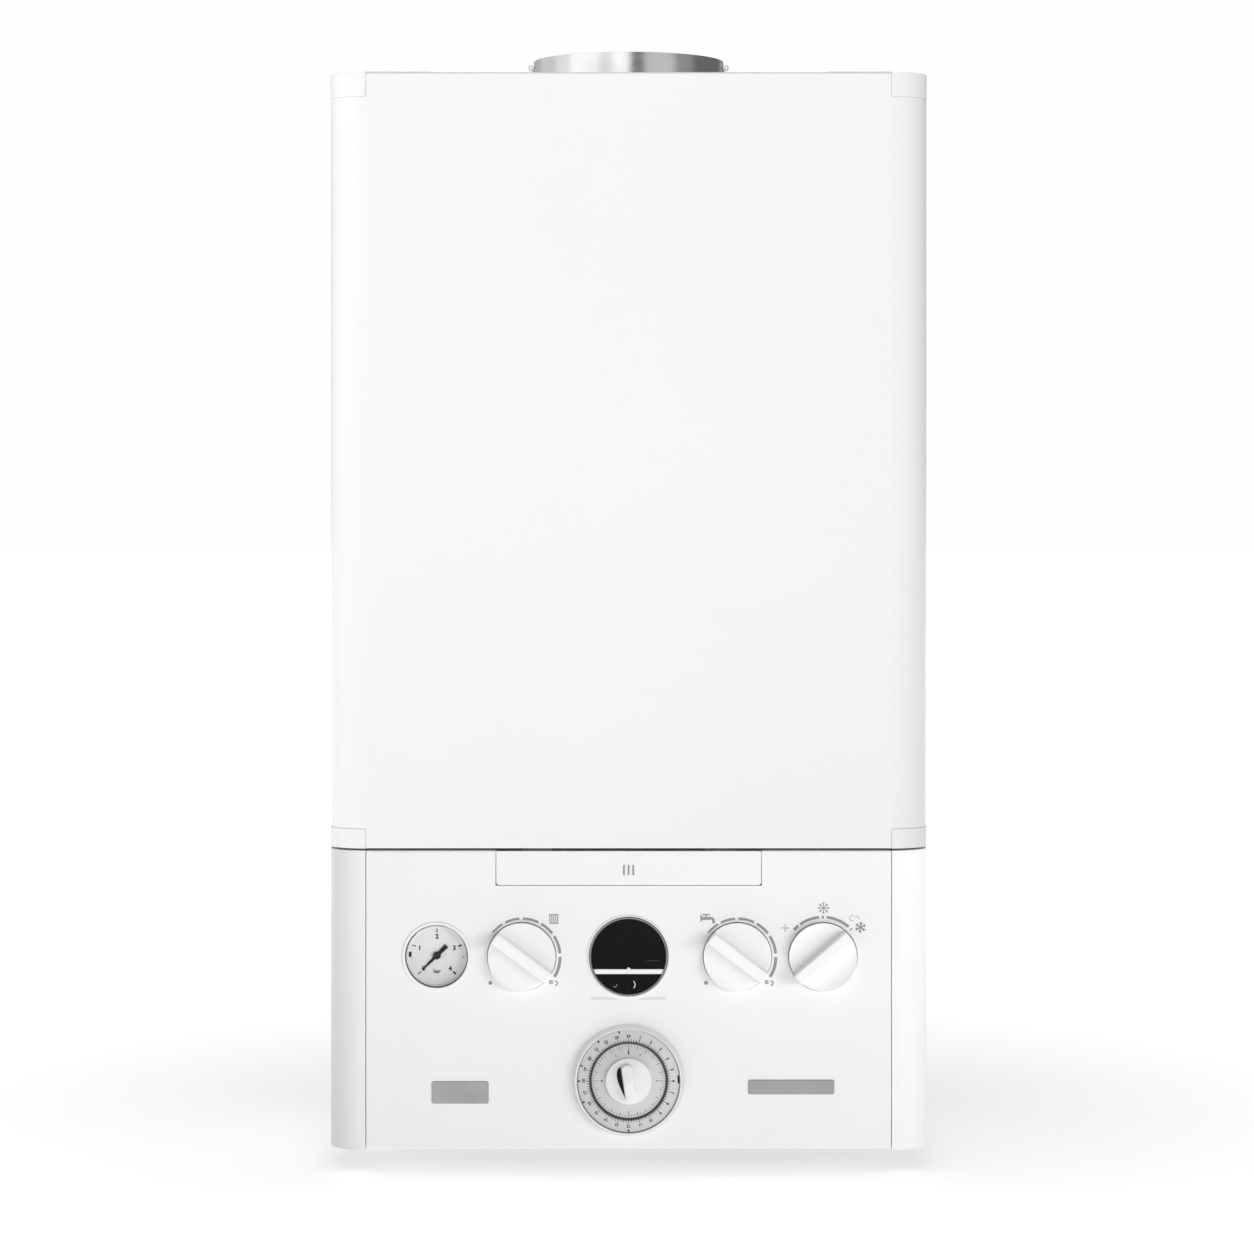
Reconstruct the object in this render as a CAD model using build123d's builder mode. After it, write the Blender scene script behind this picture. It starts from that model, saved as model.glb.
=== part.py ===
from build123d import *
import os
from math import cos, radians, sin

os.makedirs("parts", exist_ok=True)

# Frame while modelling: x to the right, y = 0 on the wall with the front at -y,
# z up from the lower edge of the casing. Every piece is saved with the centre of the
# wall bracket's screw pattern as the origin.

# ---------------------------------------------------------------- casing
casing_width = 390.0
casing_height = 700.0
casing_depth = 280.0
corner_radius = 25.0
sheet = 1.0
wrap_depth = 30.0
seam = 0.6
return_flange = 12.0
moulding = 2.5
running_fit = 0.07
cut_margin = 1.0

front = -casing_depth
wrap_rear = front + wrap_depth
wrapper_front = wrap_rear + seam
half_width = casing_width / 2
inner_half = half_width - sheet
roof = casing_height - sheet

# ---------------------------------------------------------------- front panel and caps
panel_bottom = 196.2
cap_width = 24.5
upper_cap_height = 16.0
lower_cap_height = 12.8
cap_round = 1.3
cap_proud = 0.3
cap_wall = 2.3
cap_gap = 0.1
cap_tongue = 4.0
cap_reach = 30.0
edge_round = 1.5
fold_pad_width = 41.5
fold_pad_rise = 0.4
tab_x = 60.0
tab_width = 20.0
tab_height = 16.0
screw_radius = 2.0
screw_hole_gap = 0.4
screw_head_radius = 4.0
screw_head_height = 2.4
screw_length = 8.0
drive_width = 1.0
drive_length = 4.8
drive_depth = 1.2
crossbar_gap = 1.2
crossbar_height = 14.0
crossbar_leg = 10.0

cap_edge = half_width - cap_width
upper_cap_bottom = casing_height - upper_cap_height
lower_cap_top = panel_bottom + lower_cap_height
crossbar_half = inner_half - return_flange
crossbar_top = panel_bottom - crossbar_gap
crossbar_bottom = crossbar_top - crossbar_height
panel_screw_z = (crossbar_top + crossbar_bottom) / 2
tab_bottom = panel_screw_z - tab_height / 2

# ---------------------------------------------------------------- fascia
fascia_gap = 1.4
fascia_bottom = 1.5
fascia_depth = 12.0
fascia_round = 1.0
fascia_side_round = 0.4
trim_gap = 0.4
trim_bottom = 0.5
hinge_in = 6.0
hinge_up = 10.5
hinge_pin_radius = 2.5
hinge_hole_gap = 0.5

fascia_top = panel_bottom - fascia_gap
fascia_half = cap_edge - trim_gap / 2
trim_edge = cap_edge + trim_gap / 2
fascia_back = front + moulding
hinge_y = front + hinge_in
hinge_z = fascia_bottom + hinge_up

flap_half = 86.0
flap_height = 22.2
flap_head_gap = 0.2
flap_gap = 0.3
flap_thickness = 2.0
flap_round = 2.0
flap_rim = 0.5
flap_pivot_in = 2.2
flap_pivot_drop = 2.7
flap_pin_radius = 1.0
flap_pin_length = 4.0
flap_pin_root = 2.0
lug_width = 6.0
lug_half = 1.3
lug_depth = 1.4
pin_boss_half = 4.0
pin_boss_depth = 3.0
pin_boss_wall = 2.0
scoop_width = 24.0
scoop_height = 5.0
scoop_depth = 0.8

flap_top = fascia_top - flap_head_gap
flap_bottom = flap_top - flap_height
flap_pivot_y = front + flap_pivot_in
flap_pivot_z = flap_top - flap_pivot_drop
flap_pin_reach = flap_half + flap_pin_length

# ---------------------------------------------------------------- timer
timer_outer = 36.5
timer_margin = 8.0
timer_bezel = 3.0
timer_proud = 6.0
timer_cone = 19.0
timer_edge_round = 0.3
timer_flange = 1.0
timer_hole_gap = 0.1
timer_depth = 4.0
timer_floor = 2.0
timer_body_step = 6.5
timer_body_depth = 40.0
pillar_radius = 8.0
pillar_rise = 1.6
programme_gap = 0.3
programme_width = 7.4
programme_web = 1.5
programme_web_rise = 0.8
programme_rise = 4.5
programme_hub_wall = 2.5
programme_hub_length = 2.8
tappet_fit = 0.1
tappet_width = 1.3
tappet_body = 2.6
tappet_tooth = 1.4
tappet_notch = 0.6
tappet_count = 96
dial_gap = 0.2
dial_thickness = 2.2
dial_round = 0.5
selector_radius = 15.0
selector_lift = 0.4
selector_thickness = 2.2
selector_round = 0.6
selector_rib_length = 24.0
selector_rib_width = 7.5
selector_rib_height = 6.4
selector_draft = 4.0
selector_crest_round = 0.8
selector_tilt = 98.3
selector_spindle = 2.5
selector_spindle_length = 13.4
selector_bore_depth = 11.6

timer_z = fascia_bottom + timer_outer + timer_margin
timer_top = timer_z + timer_outer
timer_inner = timer_outer - timer_bezel
timer_sleeve = timer_outer - timer_flange
timer_hole = timer_sleeve + timer_hole_gap
timer_floor_y = front + timer_depth
timer_body_radius = timer_sleeve - timer_body_step
timer_body_rear = front + timer_body_depth
programme_outer = timer_inner - programme_gap
programme_inner = programme_outer - programme_width
tappet_outer = programme_inner - tappet_fit
tappet_inner = tappet_outer - tappet_width
dial_radius = tappet_inner - dial_gap
dial_rise = pillar_rise + dial_thickness
selector_rise = dial_rise + selector_lift
selector_face = selector_rise + selector_thickness

# ---------------------------------------------------------------- controls on the fascia
# places along the row: the outer two from the fascia's ends, the inner two by how the
# free length beside the display is shared out between their raised lands
gauge_edge = 45.7
mode_edge = 44.3
heating_share = 0.6698
water_share = 0.7135
display_x = 0.0
row_drop = 1.25
temperature_rib = -36.8
mode_rib = 40.5

gauge_x = -(fascia_half - gauge_edge)
mode_x = fascia_half - mode_edge
control_row = (flap_bottom + timer_top) / 2 - row_drop

raised_ring = 0.8
knob_land = 1.2
gauge_land = 1.92
display_land = 1.08
knob_radius = 22.0
knob_gap = 0.5
knob_sink = 4.5
knob_height = 13.0
rib_base = 8.8
rib_crest = 7.6
crest_round = 1.0
scoop_floor = 3.2
scoop_radius = 36.0
scoop_shift = 6.5
spindle_radius = 3.0
spindle_gap = 0.6
spindle_reach = 7.0
well_wall = 2.0
well_depth = 7.0
switch_side = 16.0
switch_end = 1.0

knob_hole = knob_radius + knob_gap
knob_ring = knob_hole + knob_land
well_floor_y = front + well_depth
switch_front = well_floor_y + well_wall
spindle_length = well_depth + spindle_reach - knob_sink

gauge_radius = 20.5
gauge_case_wall = 1.5
gauge_case_depth = 27.0
gauge_seat = 0.5
gauge_step = 3.0
dial_fit = 0.1
dial_sheet = 1.0
dial_depth = 6.5
dial_boss = 3.0
dial_boss_length = 6.0
glass_fit = 0.05
glass_thickness = 1.4
needle_lift = 0.4
needle_sheet = 0.5
needle_tip = 13.4
needle_tail = 8.9
needle_point = 0.4
needle_root = 1.55
needle_hub = 2.55
needle_hub_height = 1.3
needle_angle = 225.0
needle_spindle = 0.8
needle_spindle_length = 5.4

gauge_dial_y = front + dial_depth
gauge_bore = gauge_radius - gauge_seat
gauge_ring = gauge_radius + gauge_land

display_hole = 25.9
display_gap = 0.1
display_rim = 1.6
ring_wall = 1.5
ring_rise = 1.3
ring_round = 0.5
lens_gap = 0.1
lens_recess = 0.4
bar_top = -8.3
bar_height = 3.0
bar_rise = 0.6
display_depth = 4.5
display_plate = 2.0
module_width = 32.0
module_height = 14.0
module_z = 4.0
module_gap = 1.0
key_travel = 1.5
key_rest_gap = 0.5
key_thickness = 2.0
key_gap = 0.3
key_fit = 0.2
key_stem_radius = 2.0
key_stem_gap = 0.4
key_stem_x = 9.0
key_stem_rise = 0.75
contact_side = 6.0
contact_height = 4.3

display_ring_outer = display_hole - display_gap
display_ring_inner = display_ring_outer - ring_wall
display_glass = display_ring_inner - lens_gap
bar_bottom = bar_top - bar_height
display_plate_y = front + display_depth
display_land_ring = display_hole + display_land
free_left = display_x - gauge_x - gauge_ring - 2 * knob_ring - display_land_ring
free_right = mode_x - display_x - 3 * knob_ring - display_land_ring
heating_x = display_x - display_land_ring - knob_ring - heating_share * free_left
water_x = display_x + display_land_ring + knob_ring + water_share * free_right
key_stem_z = (bar_bottom - display_glass) / 2 + key_stem_rise

# ---------------------------------------------------------------- control housing
housing_wall = 2.0
housing_depth = 65.0
housing_rise = 4.5
housing_drop = 6.4
ear_gap = 0.4
ear_thickness = 2.4
ear_width = 8.0
ear_behind = 6.0
ear_above = 5.0
pin_grip = 3.0
vent_count = 9
vent_pitch = 12.0
vent_length = 30.0
vent_width = 4.0
vent_drop = 36.0

ear_reach = fascia_half - moulding - ear_gap
housing_half = ear_reach - ear_thickness
ear_inner = housing_half - ear_width
hinge_pin_reach = ear_inner + pin_grip
housing_bottom = fascia_bottom + housing_rise
housing_top = flap_bottom - housing_drop
housing_rear = front + housing_depth

board_depth = 18.0
board_thickness = 1.6
board_margin = 4.6
board_right_margin = 5.0
board_top_margin = 4.0
board_height = 72.0
post_radius = 3.5
component_rise = 8.0
transformer_inset = 26.0
transformer_width = 42.0
transformer_height = 36.0
transformer_depth = 32.0
relay_count = 3
relay_inset = 18.0
relay_pitch = 25.0
relay_width = 19.0
relay_height = 16.0
relay_depth = 15.0
capacitor_count = 3
capacitor_pitch = 24.0
capacitor_drop = 22.0
capacitor_radius = 8.0
capacitor_length = 22.0

board_front = front + board_depth
board_rear = board_front + board_thickness
board_left = gauge_x + gauge_radius + gauge_case_wall + board_margin
board_right = housing_half - board_right_margin
board_top = housing_top - board_top_margin
board_bottom = board_top - board_height
key_stem_length = board_depth - contact_height - key_travel - key_rest_gap - key_thickness

# ---------------------------------------------------------------- wall side
bracket_drop = 60.0
bracket_half = 150.0
bracket_plate = 2.0
bracket_below = 28.0
ledge_rise = 28.0
hook_reach = 9.0
hook_height = 12.0
bracket_hole_radius = 4.0
bracket_hole_x = 120.0
bracket_hole_z = 12.0
recess_side_gap = 10.0
recess_below = 12.0
recess_above = 10.0
recess_gap = 3.0
rail_inset = 10.0
rail_gap = 1.0
rail_thickness = 2.0

bracket_z = casing_height - bracket_drop
bracket_low = bracket_z - bracket_below
ledge_z = bracket_z + ledge_rise
hook_top = ledge_z + hook_height
recess_half = bracket_half + recess_side_gap
recess_low = bracket_low - recess_below
recess_high = hook_top + recess_above
recess_depth = hook_reach + recess_gap
rail_half = bracket_half - rail_inset
rail_near = bracket_plate + rail_gap
rail_far = rail_near + rail_thickness

# ---------------------------------------------------------------- flue
collar_radius = 65.0
collar_wall = 1.0
collar_rise = 22.0
collar_flange_width = 7.0
collar_flange_thickness = 1.5
collar_hole_gap = 0.2
clip_foot = 14.0
clip_strip = 0.8
clip_width = 12.0
clip_rise = 19.4
clip_curl = 1.4
clip_curl_lap = 0.3
clip_curl_bore = 0.9
duct_radius = 31.0
duct_wall = 1.0
duct_seat = 1.0
duct_drop = 10.0

flue_y = front / 2
collar_top = casing_height + collar_rise
collar_flange = collar_radius + collar_flange_width
clip_top = casing_height + clip_rise
duct_top = casing_height - duct_drop

# ---------------------------------------------------------------- expansion vessel
vessel_gap = 4.0
vessel_radius = 140.0
vessel_depth = 56.0
vessel_set_off = 14.0
vessel_wall = 1.5
vessel_round = 16.8
vessel_boss = 30.0
vessel_boss_lap = 2.0
vessel_stub_radius = 8.0
vessel_stub_length = 15.0
vessel_stub_lap = 5.0

vessel_z = recess_low - sheet - vessel_gap - vessel_radius
vessel_rear = -vessel_set_off
vessel_front = vessel_rear - vessel_depth
vessel_middle = (vessel_front + vessel_rear) / 2
vessel_stub_z = vessel_z - vessel_radius - vessel_stub_length

# ---------------------------------------------------------------- heat cell
cell_drop = 75.0
cell_height = 210.0
cell_width = 200.0
cell_share = 0.4
cell_set_back = 80.0
cell_vessel_gap = 8.0
cell_round = 14.0
chamber_radius = 62.0
chamber_wall = 17.0
hanger_inset = 30.0
hanger_front_inset = 20.0
hanger_rear_inset = 22.0
hanger_sheet = 2.0
hanger_flange = 14.0
burner_radius = 34.0
burner_wall = 1.5
burner_port_wall = 4.0
burner_end_gap = 27.0
door_thickness = 6.0
door_side = 176.0
door_round = 30.0
nut_radius = 5.5
nut_height = 5.0
nut_inset = 21.5
electrode_circle = 48.0
electrode_count = 2
electrode_start = -70.0
electrode_range = 40.0
insulator_radius = 4.0
insulator_front = 22.0
insulator_rear = 12.0
electrode_wire = 1.2
electrode_length = 26.0

cell_top = casing_height - cell_drop
cell_bottom = cell_top - cell_height
cell_front = front + cell_set_back
cell_rear = vessel_front - cell_vessel_gap
chamber_rear = cell_rear - chamber_wall
burner_z = (cell_bottom + cell_top) / 2
burner_length = chamber_rear - cell_front - burner_end_gap
nut_half_pitch = door_side / 2 - nut_inset

# ---------------------------------------------------------------- fan and air duct
fan_side_gap = 14.0
fan_radius = 55.0
fan_depth = 32.0
fan_wall = 2.5
fan_below_burner = 23.0
throat_reach = 10.0
air_wall = 3.0
air_floor = 1.0
air_duct_over = 2.0
flange_rise = 8.0
flange_front = 6.0
flange_thickness = 4.0
wheel_gap = 6.5
wheel_lift = 2.0
wheel_plate = 1.5
wheel_hub_radius = 9.0
wheel_hub_length = 16.0
blade_count = 16
blade_length = 24.0
blade_thickness = 1.5
blade_inset = 14.7
blade_angle = 25.0
blade_width = 18.0
fan_motor_radius = 34.0
fan_motor_length = 28.0
fan_motor_round = 4.0
fan_shaft = 3.0
fan_shaft_end = 9.0
fan_bore_end = 8.0
fan_bore_step = 3.0
venturi_radius = 28.0
venturi_wall = 8.0
venturi_length = 56.0
spigot_radius = 9.0
spigot_length = 20.0
spigot_reach = 7.0
spigot_inset = 10.0

fan_x = -(inner_half - fan_radius - fan_side_gap)
venturi_right = fan_x + venturi_radius
cell_left = venturi_right + cell_share * (inner_half - venturi_right - cell_width)
cell_right = cell_left + cell_width
burner_x = (cell_left + cell_right) / 2
fan_z = burner_z - fan_below_burner
fan_rear = cell_front - door_thickness
fan_front = fan_rear - fan_depth
duct_left = fan_x + fan_radius + throat_reach
duct_right = burner_x + burner_radius + air_duct_over
duct_low = burner_z - burner_radius + air_duct_over
throat_low = burner_z
throat_high = fan_z + fan_radius
fan_wheel_radius = fan_radius - fan_wall - wheel_gap
wheel_front = fan_front + fan_wall + wheel_lift
wheel_shaft_length = wheel_lift + fan_wall + fan_motor_length - fan_shaft_end
venturi_rear = fan_rear + venturi_length
injector_y = venturi_rear - spigot_inset
spigot_z = fan_z - venturi_radius - spigot_reach

# ---------------------------------------------------------------- water side
tail_y = -130.0
tail_pitch = 65.0
tail_end = 2.0
tail_free = 56.0
tail_clearance = 2.0
tail_nut_height = 12.0
tail_nut_wall = 6.0
tail_turn_rise = 40.0
tail_bend = 15.0
pipe_large = 11.0
pipe_small = 7.5
pipe_thin = 6.0
pipe_vessel = 5.0
pipe_wall = 1.0
pipe_bend_ratio = 1.7
injector_bend = 18.0
flow_pipe_inset = 20.0
flow_pipe_gap = 25.0
return_pipe_gap = 18.0
return_pipe_rise = 2.0
pipe_inset = 20.0
return_pipe_inset = 10.0
drain_x = 60.0
drain_forward = 35.0
drain_radius = 10.75
drain_wall = 1.5
drain_nut_wall = 3.5
floor_z = 45.0
floor_lip = 14.4
block_inset = 25.0
block_outset = 20.0
block_height = 120.0
block_before = 30.0
block_behind = 85.0
block_round = 4.0
foot_before = 50.0
foot_depth = 20.0
plate_depth = 48.0
plate_height = 70.0
plate_rise = 10.0
plate_behind = 2.0
plate_lip = 12.0
plate_core_inset = 11.0
plate_core_drop = 2.0
plate_space_inset = 15.0
plate_space_drop = 6.0
groove_pitch = 4.0
groove_width = 1.2
channel_width = 2.4
groove_margin = 8.0
safety_radius = 12.0
safety_length = 30.0
safety_rise = 5.0
safety_neck_half = 8.0
safety_neck_rise = 7.0
safety_cap_radius = 11.0
safety_cap_height = 14.0

heating_tail_x = 2 * tail_pitch
water_tail_x = tail_pitch
nut_low = tail_end + tail_free
nut_high = nut_low + tail_nut_height
block_inner = heating_tail_x - block_inset
block_outer = heating_tail_x + block_outset
block_front = tail_y - block_before
block_rear = tail_y + block_behind
block_bottom = nut_high
block_top = block_bottom + block_height
foot_front = block_rear - foot_before
foot_rear = foot_front + foot_depth
plate_rear = block_rear - plate_behind
plate_front = plate_rear - plate_depth
plate_bottom = block_bottom + plate_rise
plate_top = plate_bottom + plate_height
groove_count = int((plate_depth - groove_margin) / groove_pitch)
safety_x = (block_outer + inner_half) / 2
safety_bottom = block_bottom + safety_rise
safety_top = safety_bottom + safety_length
drain_y = tail_y - drain_forward
floor_front = (housing_rear + housing_wall + drain_y - drain_radius) / 2
tail_turn_z = block_bottom + tail_turn_rise
cross_z = (cell_bottom + block_top) / 2
vessel_cross_z = (vessel_stub_z + block_top) / 2
flow_pipe_y = vessel_front - flow_pipe_gap
return_pipe_y = vessel_front - return_pipe_gap

trap_radius = 22.0
trap_height = 120.0
trap_drop = 35.0
trap_wall = 2.0
trap_round = 4.0
trap_neck = 13.0

trap_top = cell_bottom - trap_drop
trap_bottom = trap_top - trap_height

valve_half = 30.0
valve_drop = 125.0
valve_height = 60.0
valve_before = 60.0
valve_behind = 10.0
valve_round = 5.0
coil_radius = 12.0
coil_length = 22.0
coil_left = -13.0
coil_right = 15.0
injector_rise = 40.0

valve_bottom = cell_bottom - valve_drop
valve_top = valve_bottom + valve_height
valve_front = tail_y - valve_before
valve_rear = tail_y + valve_behind
coil_z = valve_bottom + valve_height / 2
injector_z = valve_bottom + injector_rise

actuator_half = 18.0
actuator_height = 42.0
actuator_round = 5.0
actuator_bore = 8.0
actuator_bore_depth = 24.0
diverter_below = 66.0
diverter_above = 10.0
diverter_bore_depth = 80.0
diverter_disc_radius = 6.0
diverter_disc_rise = 6.0
diverter_disc_thickness = 4.0

pump_rise = 42.0
pump_radius = 40.0
pump_depth = 50.0
pump_behind = 20.0
pump_motor_radius = 36.0
pump_motor_length = 46.0
pump_neck_half = 15.0
pump_neck_front = 10.0
pump_neck_lap = 10.0
vent_forward = 5.0
vent_radius = 11.0
vent_height = 30.0
vent_lap = 6.0
vent_cap_radius = 7.0
vent_cap_height = 9.0
impeller_radius = 31.0
impeller_gap = 2.0
impeller_depth = 22.0
impeller_set_in = 18.0
chamber_depth = 30.0
volute_wall = 15.0
rotor_radius = 18.0
rotor_gap = 1.0
rotor_length = 30.0
rotor_set_in = 4.0
rotor_space = 38.0
shaft_radius = 4.0
shaft_length = 64.0
bearing_length = 6.0

pump_z = block_top + pump_rise
pump_rear = tail_y + pump_behind
pump_front = pump_rear - pump_depth


def plan_outline(inset, rear):
    """Plan shape of the casing front, set in by inset and reaching back to rear."""
    width = casing_width - 2 * inset
    near = front + inset
    outline = Pos(0, (near + rear) / 2) * Rectangle(width, rear - near)
    front_corners = outline.vertices().sort_by(Axis.Y)[:2]
    return fillet(front_corners, corner_radius - inset)


def control_plane(x, z, angle=0.0):
    """Plane on the fascia face at (x, z), looking outwards, its x axis at angle."""
    turn = radians(angle)
    return Plane(origin=(x, front, z), x_dir=(cos(turn), 0, sin(turn)), z_dir=(0, -1, 0))


def span_box(low, high, mode=Mode.ADD):
    """Add a box between two opposite corner points."""
    size = [high[axis] - low[axis] for axis in range(3)]
    middle = tuple((high[axis] + low[axis]) / 2 for axis in range(3))
    with Locations(middle):
        Box(*size, mode=mode)


def save(builder, name):
    """Move a finished piece to the bracket origin, label it and write its file."""
    piece = builder.part.moved(Location((0, 0, -bracket_z)))
    piece.label = name
    export_step(piece, f"parts/{name}.step")


sheet_outer = plan_outline(0.0, wrap_rear)
sheet_inner = plan_outline(sheet, wrap_rear + wrap_depth)
trim_outer = plan_outline(0.0, wrapper_front)
trim_inner = plan_outline(moulding, wrapper_front + wrap_depth)
cap_outer = plan_outline(-cap_proud, wrap_rear)
cap_inner = plan_outline(cap_wall, wrap_rear + wrap_depth)

# tongues of the caps: a ring just inside the sheet, only round the corners
tongue_edge = cap_edge + 2 * cap_round
tongue_front = plan_outline(sheet, wrap_rear)
tongue_middle = Pos(0, (front + wrap_rear) / 2) * Rectangle(2 * tongue_edge, 2 * wrap_depth)
tongue_ring = tongue_front - cap_inner - tongue_middle

# ================================================================ casing pieces
# folded wrapper: both sides and the top, with return flanges round the front
with BuildPart() as case_wrapper:
    with BuildSketch(Plane.XZ):
        with Locations((0, casing_height / 2)):
            Rectangle(casing_width, casing_height)
        with Locations((0, roof / 2)):
            Rectangle(2 * inner_half, roof, mode=Mode.SUBTRACT)
    extrude(amount=-wrapper_front)
    with BuildSketch(Plane.XZ.offset(-wrapper_front)):
        with Locations((0, roof / 2)):
            Rectangle(2 * inner_half, roof)
        with Locations((0, (roof - return_flange) / 2)):
            Rectangle(2 * (inner_half - return_flange), roof - return_flange, mode=Mode.SUBTRACT)
    extrude(amount=-sheet)
    with Locations((0, flue_y, roof)):
        Cylinder(collar_radius + collar_hole_gap, 4 * sheet, mode=Mode.SUBTRACT)
save(case_wrapper, "case_wrapper")

# back sheet with the pressed recess for the bracket and the hanging lip inside it
with BuildPart() as back_panel:
    span_box((-inner_half, -sheet, floor_z), (inner_half, 0, roof))
    span_box(
        (-recess_half - sheet, -recess_depth - sheet, recess_low - sheet),
        (recess_half + sheet, 0, recess_high + sheet),
    )
    span_box(
        (-recess_half, -recess_depth, recess_low),
        (recess_half, cut_margin, recess_high),
        mode=Mode.SUBTRACT,
    )
    span_box((-rail_half, -rail_far, ledge_z), (rail_half, -rail_near, recess_high))
save(back_panel, "back_panel")

# wall bracket: screw plate with an upturned hook
with BuildPart() as wall_bracket:
    with BuildSketch(Plane.YZ.offset(-bracket_half)):
        with BuildLine():
            Polyline(
                (0, bracket_low),
                (0, ledge_z),
                (-hook_reach + bracket_plate, ledge_z),
                (-hook_reach + bracket_plate, hook_top),
                (-hook_reach, hook_top),
                (-hook_reach, ledge_z - bracket_plate),
                (-bracket_plate, ledge_z - bracket_plate),
                (-bracket_plate, bracket_low),
                close=True,
            )
        make_face()
    extrude(amount=2 * bracket_half)
    with BuildSketch(Plane.XZ):
        with Locations((0, bracket_z)):
            with GridLocations(2 * bracket_hole_x, 2 * bracket_hole_z, 2, 2):
                Circle(bracket_hole_radius)
    extrude(amount=bracket_plate, mode=Mode.SUBTRACT)
save(wall_bracket, "wall_bracket")

# recessed floor with clearance holes for the tails
with BuildPart() as bottom_panel:
    span_box((-inner_half, floor_front, floor_z), (inner_half, -sheet, floor_z + sheet))
    span_box(
        (-inner_half, floor_front, floor_z - floor_lip),
        (inner_half, floor_front + sheet, floor_z),
    )
    with BuildSketch(Plane.XY.offset(floor_z)):
        with Locations((-heating_tail_x, tail_y), (0, tail_y), (heating_tail_x, tail_y)):
            Circle(pipe_large + tail_clearance)
        with Locations((-water_tail_x, tail_y), (water_tail_x, tail_y), (safety_x, tail_y)):
            Circle(pipe_small + tail_clearance)
        with Locations((drain_x, drain_y)):
            Circle(drain_radius + tail_clearance)
    extrude(amount=sheet, mode=Mode.SUBTRACT)
save(bottom_panel, "bottom_panel")

# crossbar between the front return flanges, taking the front panel's screws
with BuildPart() as crossbar:
    span_box(
        (-crossbar_half, wrapper_front, crossbar_bottom),
        (crossbar_half, wrapper_front + crossbar_leg, crossbar_top),
    )
    span_box(
        (-crossbar_half, wrapper_front + sheet, crossbar_bottom + sheet),
        (crossbar_half, wrapper_front + 2 * crossbar_leg, crossbar_top - sheet),
        mode=Mode.SUBTRACT,
    )
    with BuildSketch(Plane.XZ.offset(-wrapper_front)):
        with Locations((-tab_x, panel_screw_z), (tab_x, panel_screw_z)):
            Circle(screw_radius + screw_hole_gap)
    extrude(amount=-sheet, mode=Mode.SUBTRACT)
save(crossbar, "crossbar")

# ================================================================ front panel
# shallow tray wrapped round both corners, notched where the caps sit
with BuildPart() as front_panel:
    extrude(Pos(0, 0, panel_bottom) * sheet_outer, amount=casing_height - panel_bottom)
    long_edges = front_panel.edges().filter_by(Axis.X).sort_by(Axis.Y)[:2]
    fillet(long_edges, edge_round)
    extrude(
        Pos(0, 0, panel_bottom + sheet) * sheet_inner,
        amount=roof - panel_bottom - sheet,
        mode=Mode.SUBTRACT,
    )
    with BuildSketch(Plane.XZ.offset(casing_depth + cap_reach)):
        for side in (-1, 1):
            middle_x = side * (cap_edge + cap_reach / 2)
            with Locations((middle_x, upper_cap_bottom + cap_reach / 2)):
                RectangleRounded(cap_reach, cap_reach, cap_round)
            with Locations((middle_x, lower_cap_top - cap_reach / 2)):
                RectangleRounded(cap_reach, cap_reach, cap_round)
    extrude(amount=-3 * cap_reach, mode=Mode.SUBTRACT)
    for side in (-1, 1):
        pad = sorted((side * (cap_edge - fold_pad_width), side * cap_edge))
        span_box(
            (pad[0], front + edge_round, roof),
            (pad[1], wrap_rear, casing_height + fold_pad_rise),
        )
        span_box(
            (side * tab_x - tab_width / 2, wrap_rear - sheet, tab_bottom),
            (side * tab_x + tab_width / 2, wrap_rear, panel_bottom + sheet),
        )
    with BuildSketch(Plane.XZ.offset(-wrap_rear)):
        with Locations((-tab_x, panel_screw_z), (tab_x, panel_screw_z)):
            Circle(screw_radius)
    extrude(amount=sheet, mode=Mode.SUBTRACT)
save(front_panel, "front_panel")

# four moulded caps filling the notches, each with a tongue behind the sheet
with BuildPart() as corner_caps:
    extrude(Pos(0, 0, panel_bottom) * cap_outer, amount=casing_height - panel_bottom)
    extrude(
        Pos(0, 0, panel_bottom + cap_wall) * cap_inner,
        amount=casing_height - panel_bottom - 2 * cap_wall,
        mode=Mode.SUBTRACT,
    )
    with BuildSketch(Plane.XZ.offset(casing_depth + cap_reach)):
        for side in (-1, 1):
            middle_x = side * (cap_edge + cap_gap + cap_reach / 2)
            with Locations((middle_x, upper_cap_bottom + cap_gap + cap_reach / 2)):
                RectangleRounded(cap_reach, cap_reach, cap_round)
            with Locations((middle_x, lower_cap_top - cap_gap - cap_reach / 2)):
                RectangleRounded(cap_reach, cap_reach, cap_round)
    extrude(amount=-3 * cap_reach, mode=Mode.INTERSECT)
    for low in (upper_cap_bottom - cap_tongue, lower_cap_top - cap_tongue):
        extrude(Pos(0, 0, low) * tongue_ring, amount=2 * cap_tongue)
save(corner_caps, "corner_caps")

# two captive screws through the panel's tabs
with BuildPart() as panel_screws:
    for side in (-1, 1):
        with BuildSketch(Plane.XZ.offset(-wrap_rear + sheet)):
            with Locations((side * tab_x, panel_screw_z)):
                Circle(screw_head_radius)
        extrude(amount=screw_head_height)
        with BuildSketch(Plane.XZ.offset(-wrap_rear + sheet)):
            with Locations((side * tab_x, panel_screw_z)):
                Circle(screw_radius)
        extrude(amount=-screw_length)
        with BuildSketch(Plane.XZ.offset(-wrap_rear + sheet + screw_head_height)):
            with Locations((side * tab_x, panel_screw_z)):
                Rectangle(drive_length, drive_width)
                Rectangle(drive_width, drive_length)
        extrude(amount=-drive_depth, mode=Mode.SUBTRACT)
save(panel_screws, "panel_screws")

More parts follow.
